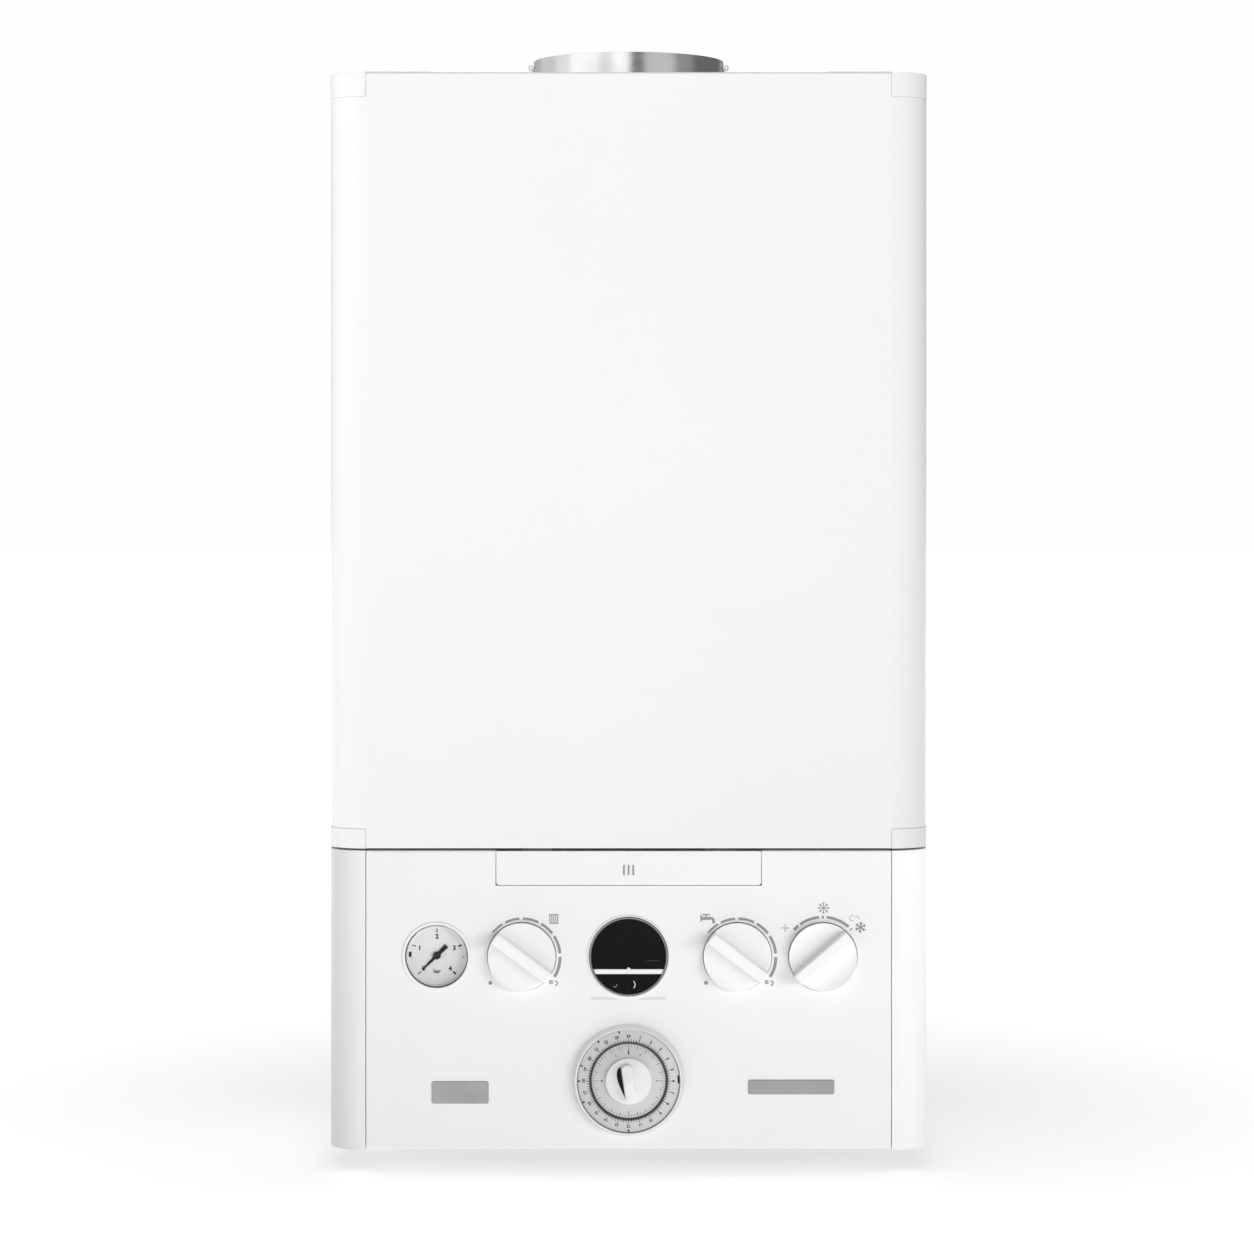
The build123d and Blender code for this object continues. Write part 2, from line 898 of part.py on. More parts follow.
# ================================================================ fascia ends
# curved hollow ends fixed to the case; a moulded pin on each carries the fascia
with BuildPart() as fascia_ends:
    extrude(Pos(0, 0, trim_bottom) * trim_outer, amount=fascia_top - trim_bottom)
    extrude(
        Pos(0, 0, trim_bottom + moulding) * trim_inner,
        amount=fascia_top - trim_bottom - 2 * moulding,
        mode=Mode.SUBTRACT,
    )
    span_box(
        (-trim_edge, front - sheet, 0),
        (trim_edge, wrapper_front + sheet, fascia_top + sheet),
        mode=Mode.SUBTRACT,
    )
    for side in (-1, 1):
        web = sorted((side * trim_edge, side * (trim_edge + moulding)))
        span_box((web[0], front + moulding, trim_bottom), (web[1], wrapper_front, fascia_top))
        with BuildSketch(Plane.YZ.offset(side * hinge_pin_reach)):
            with Locations((hinge_y, hinge_z)):
                Circle(hinge_pin_radius)
        extrude(amount=side * (trim_edge + moulding - hinge_pin_reach))
save(fascia_ends, "fascia_ends")

# ================================================================ fascia
knob_seats = {
    "knob_heating": (heating_x, temperature_rib),
    "knob_hot_water": (water_x, temperature_rib),
    "knob_mode": (mode_x, mode_rib),
}
with BuildPart() as fascia:
    span_box(
        (-fascia_half, front, fascia_bottom),
        (fascia_half, front + fascia_depth, fascia_top),
    )
    long_edges = fascia.edges().filter_by(Axis.X).sort_by(Axis.Y)[:2]
    fillet(long_edges, fascia_round)
    side_edges = fascia.edges().filter_by(Axis.Z).sort_by(Axis.Y)[:2]
    fillet(side_edges, fascia_side_round)
    span_box(
        (-fascia_half + moulding, fascia_back, fascia_bottom + moulding),
        (fascia_half - moulding, front + 2 * fascia_depth, fascia_top - moulding),
        mode=Mode.SUBTRACT,
    )
    # wells behind the knobs and posts for the board
    for knob_x, _ in knob_seats.values():
        with BuildSketch(control_plane(knob_x, control_row)):
            Circle(knob_hole + well_wall)
        extrude(amount=-well_depth - well_wall)
    for post_x in (board_left + post_radius, board_right - post_radius):
        for post_z in (board_bottom + post_radius, board_top - post_radius):
            with BuildSketch(control_plane(post_x, post_z).offset(-moulding)):
                Circle(post_radius)
            extrude(amount=fascia_back - board_front)
    # raised lands round the round controls
    with BuildSketch(control_plane(0, control_row)):
        for knob_x, _ in knob_seats.values():
            with Locations((knob_x, 0)):
                Circle(knob_ring)
        with Locations((gauge_x, 0)):
            Circle(gauge_ring)
        with Locations((display_x, 0)):
            Circle(display_land_ring)
    extrude(amount=raised_ring)
    land_rims = fascia.faces().filter_by(Axis.Y).sort_by(Axis.Y)[:5].edges()
    fillet(land_rims, raised_ring / 2)
    # holes
    with BuildSketch(control_plane(0, control_row).offset(raised_ring)):
        for knob_x, _ in knob_seats.values():
            with Locations((knob_x, 0)):
                Circle(knob_hole)
    extrude(amount=-well_depth - raised_ring, mode=Mode.SUBTRACT)
    with BuildSketch(control_plane(0, control_row).offset(raised_ring)):
        for knob_x, _ in knob_seats.values():
            with Locations((knob_x, 0)):
                Circle(spindle_radius + spindle_gap)
        with Locations((gauge_x, 0)):
            Circle(gauge_radius)
        with Locations((display_x, 0)):
            Circle(display_hole)
        with Locations((0, timer_z - control_row)):
            Circle(timer_hole)
    extrude(amount=-2 * fascia_depth, mode=Mode.SUBTRACT)
    # notch for the flap, open at the top, and the bosses its pins turn in
    span_box(
        (-flap_half - flap_gap, front - cut_margin, flap_bottom - flap_gap),
        (flap_half + flap_gap, front + 2 * fascia_depth, fascia_top + cut_margin),
        mode=Mode.SUBTRACT,
    )
    for side in (-1, 1):
        boss = sorted((side * (flap_half + flap_gap), side * (flap_pin_reach + pin_boss_wall)))
        span_box(
            (boss[0], fascia_back, flap_pivot_z - pin_boss_half),
            (boss[1], fascia_back + pin_boss_depth, fascia_top - moulding),
        )
    with BuildSketch(Plane.YZ.offset(-flap_pin_reach - cut_margin)):
        with Locations((flap_pivot_y, flap_pivot_z)):
            Circle(flap_pin_radius + running_fit)
    extrude(amount=2 * (flap_pin_reach + cut_margin), mode=Mode.SUBTRACT)
    # holes in the side returns for the hinge pins
    with BuildSketch(Plane.YZ.offset(-fascia_half)):
        with Locations((hinge_y, hinge_z)):
            Circle(hinge_pin_radius + hinge_hole_gap)
    extrude(amount=2 * fascia_half, mode=Mode.SUBTRACT)
save(fascia, "fascia")

# small flap with its pins moulded on
with BuildPart() as flap:
    span_box(
        (-flap_half, front, flap_bottom),
        (flap_half, front + flap_thickness, flap_top),
    )
    low_corners = flap.edges().filter_by(Axis.Y).sort_by(Axis.Z)[:2]
    fillet(low_corners, flap_round)
    front_rim = flap.faces().sort_by(Axis.Y)[0].edges()
    fillet(front_rim, flap_rim)
    for side in (-1, 1):
        lug = sorted((side * (flap_half - lug_width), side * flap_half))
        span_box(
            (lug[0], front + flap_thickness, flap_pivot_z - lug_half),
            (lug[1], front + flap_thickness + lug_depth, flap_pivot_z + lug_half),
        )
        with BuildSketch(Plane.YZ.offset(side * (flap_half - flap_pin_root))):
            with Locations((flap_pivot_y, flap_pivot_z)):
                Circle(flap_pin_radius)
        extrude(amount=side * (flap_pin_length + flap_pin_root))
    # shallow finger scoop behind the lower edge
    with BuildSketch(Plane.XZ.offset(casing_depth - flap_thickness)):
        with Locations((0, flap_bottom)):
            SlotOverall(scoop_width, scoop_height)
    extrude(amount=scoop_depth, mode=Mode.SUBTRACT)
save(flap, "flap")

# ================================================================ knobs
for knob_name, (knob_x, rib_angle) in knob_seats.items():
    seat = control_plane(knob_x, control_row, rib_angle)
    across = Plane(origin=seat.origin, x_dir=seat.y_dir, z_dir=seat.x_dir)
    with BuildPart() as knob:
        with BuildSketch(seat.offset(-knob_sink)):
            Circle(knob_radius)
        extrude(amount=knob_sink + knob_height)
        with BuildSketch(across):
            for side in (-1, 1):
                with Locations((side * scoop_shift, scoop_floor + scoop_radius)):
                    Circle(scoop_radius)
            with BuildLine():
                Polyline(
                    (-rib_base / 2, scoop_floor - cut_margin),
                    (rib_base / 2, scoop_floor - cut_margin),
                    (rib_crest / 2, knob_height),
                    (rib_crest / 2, 3 * scoop_radius),
                    (-rib_crest / 2, 3 * scoop_radius),
                    (-rib_crest / 2, knob_height),
                    close=True,
                )
            make_face(mode=Mode.SUBTRACT)
        extrude(amount=knob_radius + cut_margin, both=True, mode=Mode.SUBTRACT)
        crest = knob.faces().sort_by(Axis.Y)[0]
        fillet(crest.edges(), crest_round)
        with BuildSketch(seat.offset(-knob_sink)):
            Circle(spindle_radius)
        extrude(amount=-spindle_length)
    save(knob, knob_name)

# switch bodies between the wells and the board, one per knob
with BuildPart() as rotary_switches:
    for knob_x, _ in knob_seats.values():
        span_box(
            (knob_x - switch_side / 2, switch_front, control_row - switch_side / 2),
            (knob_x + switch_side / 2, board_front, control_row + switch_side / 2),
        )
        with BuildSketch(control_plane(knob_x, control_row).offset(front - switch_front)):
            Circle(spindle_radius + running_fit)
        extrude(amount=switch_front - board_front + switch_end, mode=Mode.SUBTRACT)
save(rotary_switches, "rotary_switches")

# ================================================================ pressure gauge
gauge_plane = control_plane(gauge_x, control_row)
with BuildPart() as gauge_case:
    with BuildSketch(gauge_plane.offset(-moulding)):
        Circle(gauge_radius + gauge_case_wall)
    extrude(amount=-gauge_case_depth)
    with BuildSketch(gauge_plane.offset(-moulding)):
        Circle(gauge_bore)
    extrude(amount=fascia_back - gauge_dial_y - dial_sheet, mode=Mode.SUBTRACT)
    with BuildSketch(gauge_plane.offset(-moulding)):
        Circle(gauge_radius - gauge_step)
    extrude(amount=-(gauge_case_depth - gauge_case_wall), mode=Mode.SUBTRACT)
save(gauge_case, "gauge_case")

with BuildPart() as gauge_dial:
    with BuildSketch(gauge_plane.offset(-dial_depth)):
        Circle(gauge_bore - dial_fit)
    extrude(amount=-dial_sheet)
    with BuildSketch(gauge_plane.offset(-dial_depth)):
        Circle(dial_boss)
    extrude(amount=-dial_boss_length)
    with BuildSketch(gauge_plane.offset(-dial_depth)):
        Circle(needle_spindle + running_fit)
    extrude(amount=-dial_boss_length, mode=Mode.SUBTRACT)
save(gauge_dial, "gauge_dial")

with BuildPart() as gauge_glass:
    with BuildSketch(gauge_plane.offset(-moulding)):
        Circle(gauge_bore - glass_fit)
    extrude(amount=-glass_thickness)
save(gauge_glass, "gauge_glass")

needle_plane = control_plane(gauge_x, control_row, needle_angle).offset(needle_lift - dial_depth)
with BuildPart() as gauge_needle:
    with BuildSketch(needle_plane):
        with BuildLine():
            Polyline(
                (needle_tip, needle_point),
                (-needle_tail, needle_root),
                (-needle_tail, -needle_root),
                (needle_tip, -needle_point),
                close=True,
            )
        make_face()
    extrude(amount=needle_sheet)
    with BuildSketch(needle_plane):
        Circle(needle_hub)
    extrude(amount=needle_hub_height)
    with BuildSketch(needle_plane):
        Circle(needle_spindle)
    extrude(amount=-needle_spindle_length)
save(gauge_needle, "gauge_needle")

# ================================================================ display
display_plane = control_plane(display_x, control_row)
plate_plane = display_plane.offset(-display_depth)
# white frame: back plate on a rim, window for the module, cross bar under the glass
with BuildPart() as display_frame:
    with BuildSketch(display_plane.offset(-moulding)):
        Circle(display_hole + display_rim)
        Circle(display_ring_outer, mode=Mode.SUBTRACT)
    extrude(amount=moulding - display_depth)
    with BuildSketch(plate_plane):
        Circle(display_hole + display_rim)
        with Locations((0, module_z)):
            Rectangle(module_width + 2 * module_gap, module_height + 2 * module_gap, mode=Mode.SUBTRACT)
        with Locations((-key_stem_x, key_stem_z), (key_stem_x, key_stem_z)):
            Circle(key_stem_radius + key_stem_gap, mode=Mode.SUBTRACT)
    extrude(amount=-display_plate)
    with BuildSketch(plate_plane):
        with Locations((0, (bar_top + bar_bottom) / 2)):
            Rectangle(2 * display_ring_inner, bar_height)
        Circle(display_glass, mode=Mode.INTERSECT)
    extrude(amount=display_depth + bar_rise)
save(display_frame, "display_frame")

with BuildPart() as display_ring:
    with BuildSketch(plate_plane):
        Circle(display_ring_outer)
        Circle(display_ring_inner, mode=Mode.SUBTRACT)
    extrude(amount=display_depth + ring_rise)
    ring_front = display_ring.faces().sort_by(Axis.Y)[0]
    fillet(ring_front.edges(), ring_round)
save(display_ring, "display_ring")

with BuildPart() as display_lens:
    with BuildSketch(plate_plane):
        Circle(display_glass)
        with Locations((0, bar_top + lens_gap - display_glass)):
            Rectangle(2 * display_glass, 2 * display_glass, mode=Mode.SUBTRACT)
    extrude(amount=display_depth - lens_recess)
save(display_lens, "display_lens")

for key_name, side in (("key_restart", -1), ("key_preheat", 1)):
    with BuildPart() as key:
        with BuildSketch(display_plane.offset(-key_thickness)):
            Circle(display_glass - key_fit)
            with Locations((side * display_glass, 0)):
                Rectangle(2 * (display_glass - key_gap / 2), 3 * display_glass, mode=Mode.INTERSECT)
            with Locations((0, bar_bottom - key_gap - display_glass)):
                Rectangle(3 * display_glass, 2 * display_glass, mode=Mode.INTERSECT)
        extrude(amount=key_thickness)
        with BuildSketch(display_plane.offset(-key_thickness)):
            with Locations((side * key_stem_x, key_stem_z)):
                Circle(key_stem_radius)
        extrude(amount=-key_stem_length)
    save(key, key_name)

# ================================================================ timer
timer_plane = control_plane(0, timer_z)
# case with the conical bezel, the basin, the centre pillar and the works behind
with BuildPart() as timer_case:
    with BuildSketch(timer_plane):
        Circle(timer_outer)
    extrude(amount=timer_proud, taper=timer_cone)
    with BuildSketch(timer_plane):
        Circle(timer_sleeve)
    extrude(amount=-timer_depth - timer_floor)
    with BuildSketch(timer_plane.offset(timer_proud)):
        Circle(timer_inner)
    extrude(amount=-timer_depth - timer_proud, mode=Mode.SUBTRACT)
    bezel_rim = timer_case.faces().filter_by(Axis.Y).sort_by(Axis.Y)[0]
    fillet(bezel_rim.edges(), timer_edge_round)
    with BuildSketch(timer_plane.offset(-timer_depth - timer_floor)):
        Circle(timer_body_radius)
    extrude(amount=timer_floor_y + timer_floor - timer_body_rear)
    with BuildSketch(timer_plane.offset(-timer_depth)):
        Circle(pillar_radius)
    extrude(amount=timer_depth + pillar_rise)
    with BuildSketch(timer_plane.offset(pillar_rise)):
        Circle(selector_spindle + running_fit)
    extrude(amount=-selector_bore_depth, mode=Mode.SUBTRACT)
save(timer_case, "timer_case")

# programme ring turning on the pillar
with BuildPart() as timer_ring:
    with BuildSketch(timer_plane.offset(programme_web_rise)):
        Circle(programme_outer)
        Circle(pillar_radius + running_fit, mode=Mode.SUBTRACT)
    extrude(amount=-programme_web)
    with BuildSketch(timer_plane.offset(programme_web_rise)):
        Circle(programme_outer)
        Circle(programme_inner, mode=Mode.SUBTRACT)
    extrude(amount=programme_rise - programme_web_rise)
    with BuildSketch(timer_plane.offset(programme_web_rise - programme_web)):
        Circle(pillar_radius + programme_hub_wall)
        Circle(pillar_radius + running_fit, mode=Mode.SUBTRACT)
    extrude(amount=-programme_hub_length)
    ring_rim = timer_ring.faces().filter_by(Axis.Y).sort_by(Axis.Y)[0]
    fillet(ring_rim.edges(), timer_edge_round)
save(timer_ring, "timer_ring")

# toothed ring of switching tappets carried by the programme ring
with BuildPart() as timer_tappets:
    with BuildSketch(timer_plane.offset(programme_web_rise)):
        Circle(tappet_outer)
        Circle(tappet_inner, mode=Mode.SUBTRACT)
    extrude(amount=tappet_body)
    with BuildSketch(timer_plane.offset(programme_web_rise + tappet_body)):
        Circle(tappet_outer)
        Circle(tappet_inner, mode=Mode.SUBTRACT)
        with PolarLocations((tappet_outer + tappet_inner) / 2, tappet_count):
            Rectangle(2 * tappet_width, tappet_notch, mode=Mode.SUBTRACT)
    extrude(amount=tappet_tooth)
save(timer_tappets, "timer_tappets")

with BuildPart() as timer_dial:
    with BuildSketch(timer_plane.offset(pillar_rise)):
        Circle(dial_radius)
        Circle(selector_spindle + dial_gap, mode=Mode.SUBTRACT)
    extrude(amount=dial_thickness)
    dial_rim = timer_dial.faces().filter_by(Axis.Y).sort_by(Axis.Y)[0].edges()
    fillet(dial_rim.sort_by(SortBy.RADIUS)[-1], dial_round)
save(timer_dial, "timer_dial")

selector_plane = control_plane(0, timer_z, selector_tilt)
with BuildPart() as timer_selector:
    with BuildSketch(selector_plane.offset(selector_rise)):
        Circle(selector_radius)
    extrude(amount=selector_thickness)
    disc_rim = timer_selector.faces().sort_by(Axis.Y)[0].edges()
    fillet(disc_rim, selector_round)
    with BuildSketch(selector_plane.offset(selector_face)):
        SlotOverall(selector_rib_length, selector_rib_width)
    extrude(amount=selector_rib_height, taper=selector_draft)
    rib_crest_face = timer_selector.faces().sort_by(Axis.Y)[0]
    fillet(rib_crest_face.edges(), selector_crest_round)
    with BuildSketch(selector_plane.offset(selector_rise)):
        Circle(selector_spindle)
    extrude(amount=-selector_spindle_length)
save(timer_selector, "timer_selector")

# ================================================================ control housing
with BuildPart() as control_housing:
    span_box(
        (-housing_half, fascia_back, housing_bottom),
        (housing_half, housing_rear, housing_top),
    )
    span_box(
        (-housing_half + housing_wall, front, housing_bottom + housing_wall),
        (housing_half - housing_wall, housing_rear + cut_margin, housing_top - housing_wall),
        mode=Mode.SUBTRACT,
    )
    for side in (-1, 1):
        ear = sorted((side * ear_inner, side * ear_reach))
        span_box(
            (ear[0], fascia_back, housing_bottom),
            (ear[1], hinge_y + ear_behind, hinge_z + ear_above),
        )
    with BuildSketch(Plane.YZ.offset(-ear_reach)):
        with Locations((hinge_y, hinge_z)):
            Circle(hinge_pin_radius + running_fit)
    extrude(amount=2 * ear_reach, mode=Mode.SUBTRACT)
save(control_housing, "control_housing")

with BuildPart() as housing_cover:
    span_box(
        (-housing_half, housing_rear, housing_bottom),
        (housing_half, housing_rear + housing_wall, housing_top),
    )
    with BuildSketch(Plane.XZ.offset(-housing_rear)):
        with Locations((0, housing_top - vent_drop)):
            with GridLocations(vent_pitch, vent_pitch, vent_count, 1):
                SlotOverall(vent_length, vent_width, rotation=90)
    extrude(amount=-housing_wall, mode=Mode.SUBTRACT)
save(housing_cover, "housing_cover")

# board with the display module, key contacts, transformer, relays and capacitors
component_z = board_bottom + component_rise
transformer_left = board_right - transformer_inset - transformer_width
with BuildPart() as control_board:
    span_box((board_left, board_front, board_bottom), (board_right, board_rear, board_top))
    module_middle = control_row + module_z
    span_box(
        (-module_width / 2, display_plate_y + display_plate, module_middle - module_height / 2),
        (module_width / 2, board_front, module_middle + module_height / 2),
    )
    for side in (-1, 1):
        contact_x = side * key_stem_x
        contact_z = control_row + key_stem_z
        span_box(
            (contact_x - contact_side / 2, board_front - contact_height, contact_z - contact_side / 2),
            (contact_x + contact_side / 2, board_front, contact_z + contact_side / 2),
        )
    span_box(
        (transformer_left, board_rear, component_z),
        (
            transformer_left + transformer_width,
            board_rear + transformer_depth,
            component_z + transformer_height,
        ),
    )
    for number in range(relay_count):
        relay_x = board_left + relay_inset + number * relay_pitch
        span_box(
            (relay_x, board_rear, component_z),
            (relay_x + relay_width, board_rear + relay_depth, component_z + relay_height),
        )
    for number in range(capacitor_count):
        capacitor_x = transformer_left - (number + 1) * capacitor_pitch
        with BuildSketch(Plane.XZ.offset(-board_rear)):
            with Locations((capacitor_x, board_top - capacitor_drop)):
                Circle(capacitor_radius)
        extrude(amount=-capacitor_length)
save(control_board, "control_board")

# ================================================================ flue
with BuildPart() as flue_collar:
    with BuildSketch(Plane.XY.offset(roof - collar_flange_thickness)):
        with Locations((0, flue_y)):
            Circle(collar_flange)
    extrude(amount=collar_flange_thickness)
    with BuildSketch(Plane.XY.offset(roof - collar_flange_thickness)):
        with Locations((0, flue_y)):
            Circle(collar_radius)
    extrude(amount=collar_top - roof + collar_flange_thickness)
    with BuildSketch(Plane.XY.offset(roof - collar_flange_thickness)):
        with Locations((0, flue_y)):
            Circle(collar_radius - collar_wall)
    extrude(amount=collar_top - roof + collar_flange_thickness, mode=Mode.SUBTRACT)
save(flue_collar, "flue_collar")

# bent spring clips standing on the roof against the collar
clip_from = collar_radius + collar_hole_gap
curl_z = clip_top - clip_curl
with BuildPart() as collar_clips:
    for side in (-1, 1):
        with BuildSketch(Plane.XZ.offset(-flue_y + clip_width / 2)):
            with BuildLine():
                Polyline(
                    (side * (clip_from + clip_foot), casing_height),
                    (side * clip_from, casing_height),
                    (side * clip_from, curl_z),
                    (side * (clip_from + clip_strip), curl_z),
                    (side * (clip_from + clip_strip), casing_height + clip_strip),
                    (side * (clip_from + clip_foot), casing_height + clip_strip),
                    close=True,
                )
            make_face()
            with Locations((side * (clip_from + clip_curl + clip_curl_lap), curl_z)):
                Circle(clip_curl + clip_curl_lap)
                Circle(clip_curl_bore, mode=Mode.SUBTRACT)
        extrude(amount=-clip_width)
save(collar_clips, "collar_clips")

with BuildPart() as flue_duct:
    with BuildSketch(Plane.XY.offset(cell_top)):
        with Locations((0, flue_y)):
            Circle(duct_radius)
            Circle(duct_radius - duct_wall, mode=Mode.SUBTRACT)
    extrude(amount=duct_top - cell_top)
save(flue_duct, "flue_duct")

# ================================================================ heat cell
with BuildPart() as heat_exchanger:
    span_box((cell_left, cell_front, cell_bottom), (cell_right, cell_rear, cell_top))
    fillet(heat_exchanger.edges().filter_by(Axis.Y), cell_round)
    with BuildSketch(Plane.XZ.offset(-cell_front)):
        with Locations((burner_x, burner_z)):
            Circle(chamber_radius)
    extrude(amount=cell_front - chamber_rear, mode=Mode.SUBTRACT)
    with BuildSketch(Plane.XY.offset(cell_top)):
        with Locations((0, flue_y)):
            Circle(duct_radius - duct_wall - duct_seat)
    extrude(amount=burner_z - cell_top, mode=Mode.SUBTRACT)
save(heat_exchanger, "heat_exchanger")

with BuildPart() as exchanger_brackets:
    hanger_front = cell_front + hanger_front_inset
    hanger_rear = cell_rear - hanger_rear_inset
    for low in (cell_bottom + hanger_inset, cell_top - hanger_inset - hanger_sheet):
        span_box((cell_right, hanger_front, low), (inner_half, hanger_rear, low + hanger_sheet))
        span_box(
            (inner_half - hanger_sheet, hanger_front, low),
            (inner_half, hanger_rear, low + hanger_flange),
        )
save(exchanger_brackets, "exchanger_brackets")

# door over the chamber with the air duct cast on it
with BuildPart() as burner_door:
    span_box(
        (burner_x - door_side / 2, cell_front - door_thickness, burner_z - door_side / 2),
        (burner_x + door_side / 2, cell_front, burner_z + door_side / 2),
    )
    fillet(burner_door.edges().filter_by(Axis.Y), door_round)
    span_box((duct_left, fan_front, duct_low), (duct_right, fan_rear, throat_high))
    span_box(
        (duct_left, fan_front - flange_front, duct_low - flange_rise),
        (duct_left + flange_thickness, fan_rear, throat_high + flange_rise),
    )
    span_box(
        (duct_left - cut_margin, fan_front + air_wall, duct_low + air_wall),
        (duct_right - air_wall, fan_rear - air_floor, throat_high - air_wall),
        mode=Mode.SUBTRACT,
    )
    with BuildSketch(Plane.XZ.offset(-cell_front)):
        with Locations((burner_x, burner_z)):
            Circle(burner_radius - burner_port_wall)
    extrude(amount=door_thickness + air_floor, mode=Mode.SUBTRACT)
    with BuildSketch(Plane.XZ.offset(-cell_front)):
        with Locations((burner_x, burner_z)):
            with PolarLocations(
                electrode_circle,
                electrode_count,
                start_angle=electrode_start,
                angular_range=electrode_range,
            ):
                Circle(insulator_radius)
    extrude(amount=door_thickness, mode=Mode.SUBTRACT)
save(burner_door, "burner_door")

with BuildPart() as door_nuts:
    with BuildSketch(Plane.XZ.offset(-fan_rear)):
        with Locations((burner_x, burner_z)):
            with GridLocations(2 * nut_half_pitch, 2 * nut_half_pitch, 2, 2):
                RegularPolygon(nut_radius, 6)
    extrude(amount=nut_height)
save(door_nuts, "door_nuts")

with BuildPart() as burner:
    with BuildSketch(Plane.XZ.offset(-cell_front)):
        with Locations((burner_x, burner_z)):
            Circle(burner_radius)
    extrude(amount=-burner_length)
    with BuildSketch(Plane.XZ.offset(-cell_front)):
        with Locations((burner_x, burner_z)):
            Circle(burner_radius - burner_wall)
    extrude(amount=-burner_length + burner_wall, mode=Mode.SUBTRACT)
save(burner, "burner")

# ceramic insulators through the door with their wires over the burner
insulator_length = insulator_front + insulator_rear
with BuildPart() as electrodes:
    for stem_radius, stem_from, stem_length in (
        (insulator_radius, insulator_front, insulator_length),
        (electrode_wire, -insulator_rear, electrode_length),
    ):
        with BuildSketch(Plane.XZ.offset(-cell_front + stem_from)):
            with Locations((burner_x, burner_z)):
                with PolarLocations(
                    electrode_circle,
                    electrode_count,
                    start_angle=electrode_start,
                    angular_range=electrode_range,
                ):
                    Circle(stem_radius)
        extrude(amount=-stem_length)
save(electrodes, "electrodes")

# ================================================================ fan
with BuildPart() as fan_housing:
    with BuildSketch(Plane.XZ.offset(-fan_rear)):
        with Locations((fan_x, fan_z)):
            Circle(fan_radius)
    extrude(amount=fan_depth)
    span_box((fan_x, fan_front, throat_low), (duct_left, fan_rear, throat_high))
    span_box(
        (duct_left - flange_thickness, fan_front - flange_front, throat_low - flange_rise),
        (duct_left, fan_rear, throat_high + flange_rise),
    )
    with BuildSketch(Plane.XZ.offset(-fan_rear + fan_wall)):
        with Locations((fan_x, fan_z)):
            Circle(fan_radius - fan_wall)
    extrude(amount=fan_depth - 2 * fan_wall, mode=Mode.SUBTRACT)
    span_box(
        (fan_x, fan_front + fan_wall, throat_low + fan_wall),
        (duct_left + cut_margin, fan_rear - fan_wall, throat_high - fan_wall),
        mode=Mode.SUBTRACT,
    )
    with BuildSketch(Plane.XZ.offset(-fan_rear)):
        with Locations((fan_x, fan_z)):
            Circle(venturi_radius - venturi_wall)
    extrude(amount=fan_wall, mode=Mode.SUBTRACT)
    with BuildSketch(Plane.XZ.offset(-fan_front)):
        with Locations((fan_x, fan_z)):
            Circle(fan_shaft + fan_bore_step)
    extrude(amount=-fan_wall, mode=Mode.SUBTRACT)
save(fan_housing, "fan_housing")

with BuildPart() as fan_motor:
    with BuildSketch(Plane.XZ.offset(-fan_front)):
        with Locations((fan_x, fan_z)):
            Circle(fan_motor_radius)
    extrude(amount=fan_motor_length)
    fillet(fan_motor.faces().sort_by(Axis.Y)[0].edges(), fan_motor_round)
    with BuildSketch(Plane.XZ.offset(-fan_front)):
        with Locations((fan_x, fan_z)):
            Circle(fan_shaft + running_fit)
    extrude(amount=fan_motor_length - fan_bore_end, mode=Mode.SUBTRACT)
save(fan_motor, "fan_motor")

with BuildPart() as fan_wheel:
    with BuildSketch(Plane.XZ.offset(-wheel_front)):
        with Locations((fan_x, fan_z)):
            Circle(fan_wheel_radius)
    extrude(amount=-wheel_plate)
    with BuildSketch(Plane.XZ.offset(-wheel_front)):
        with Locations((fan_x, fan_z)):
            Circle(wheel_hub_radius)
    extrude(amount=-wheel_hub_length)
    with BuildSketch(Plane.XZ.offset(-wheel_front)):
        with Locations((fan_x, fan_z)):
            with PolarLocations(fan_wheel_radius - blade_inset, blade_count):
                Rectangle(blade_length, blade_thickness, rotation=blade_angle)
    extrude(amount=-blade_width)
    with BuildSketch(Plane.XZ.offset(-wheel_front)):
        with Locations((fan_x, fan_z)):
            Circle(fan_shaft)
    extrude(amount=wheel_shaft_length)
save(fan_wheel, "fan_wheel")

# air inlet with the gas spigot underneath
with BuildPart() as venturi:
    with BuildSketch(Plane.XZ.offset(-venturi_rear)):
        with Locations((fan_x, fan_z)):
            Circle(venturi_radius)
    extrude(amount=venturi_length)
    with BuildSketch(Plane.XY.offset(spigot_z)):
        with Locations((fan_x, injector_y)):
            Circle(spigot_radius)
    extrude(amount=spigot_length)
    with BuildSketch(Plane.XZ.offset(-venturi_rear)):
        with Locations((fan_x, fan_z)):
            Circle(venturi_radius - venturi_wall)
    extrude(amount=venturi_length, mode=Mode.SUBTRACT)
save(venturi, "venturi")

# ================================================================ gas
with BuildPart() as gas_valve:
    span_box((-valve_half, valve_front, valve_bottom), (valve_half, valve_rear, valve_top))
    fillet(gas_valve.edges().filter_by(Axis.Y), valve_round)
    with BuildSketch(Plane.XZ.offset(-valve_front)):
        with Locations((coil_left, coil_z), (coil_right, coil_z)):
            Circle(coil_radius)
    extrude(amount=coil_length)
save(gas_valve, "gas_valve")

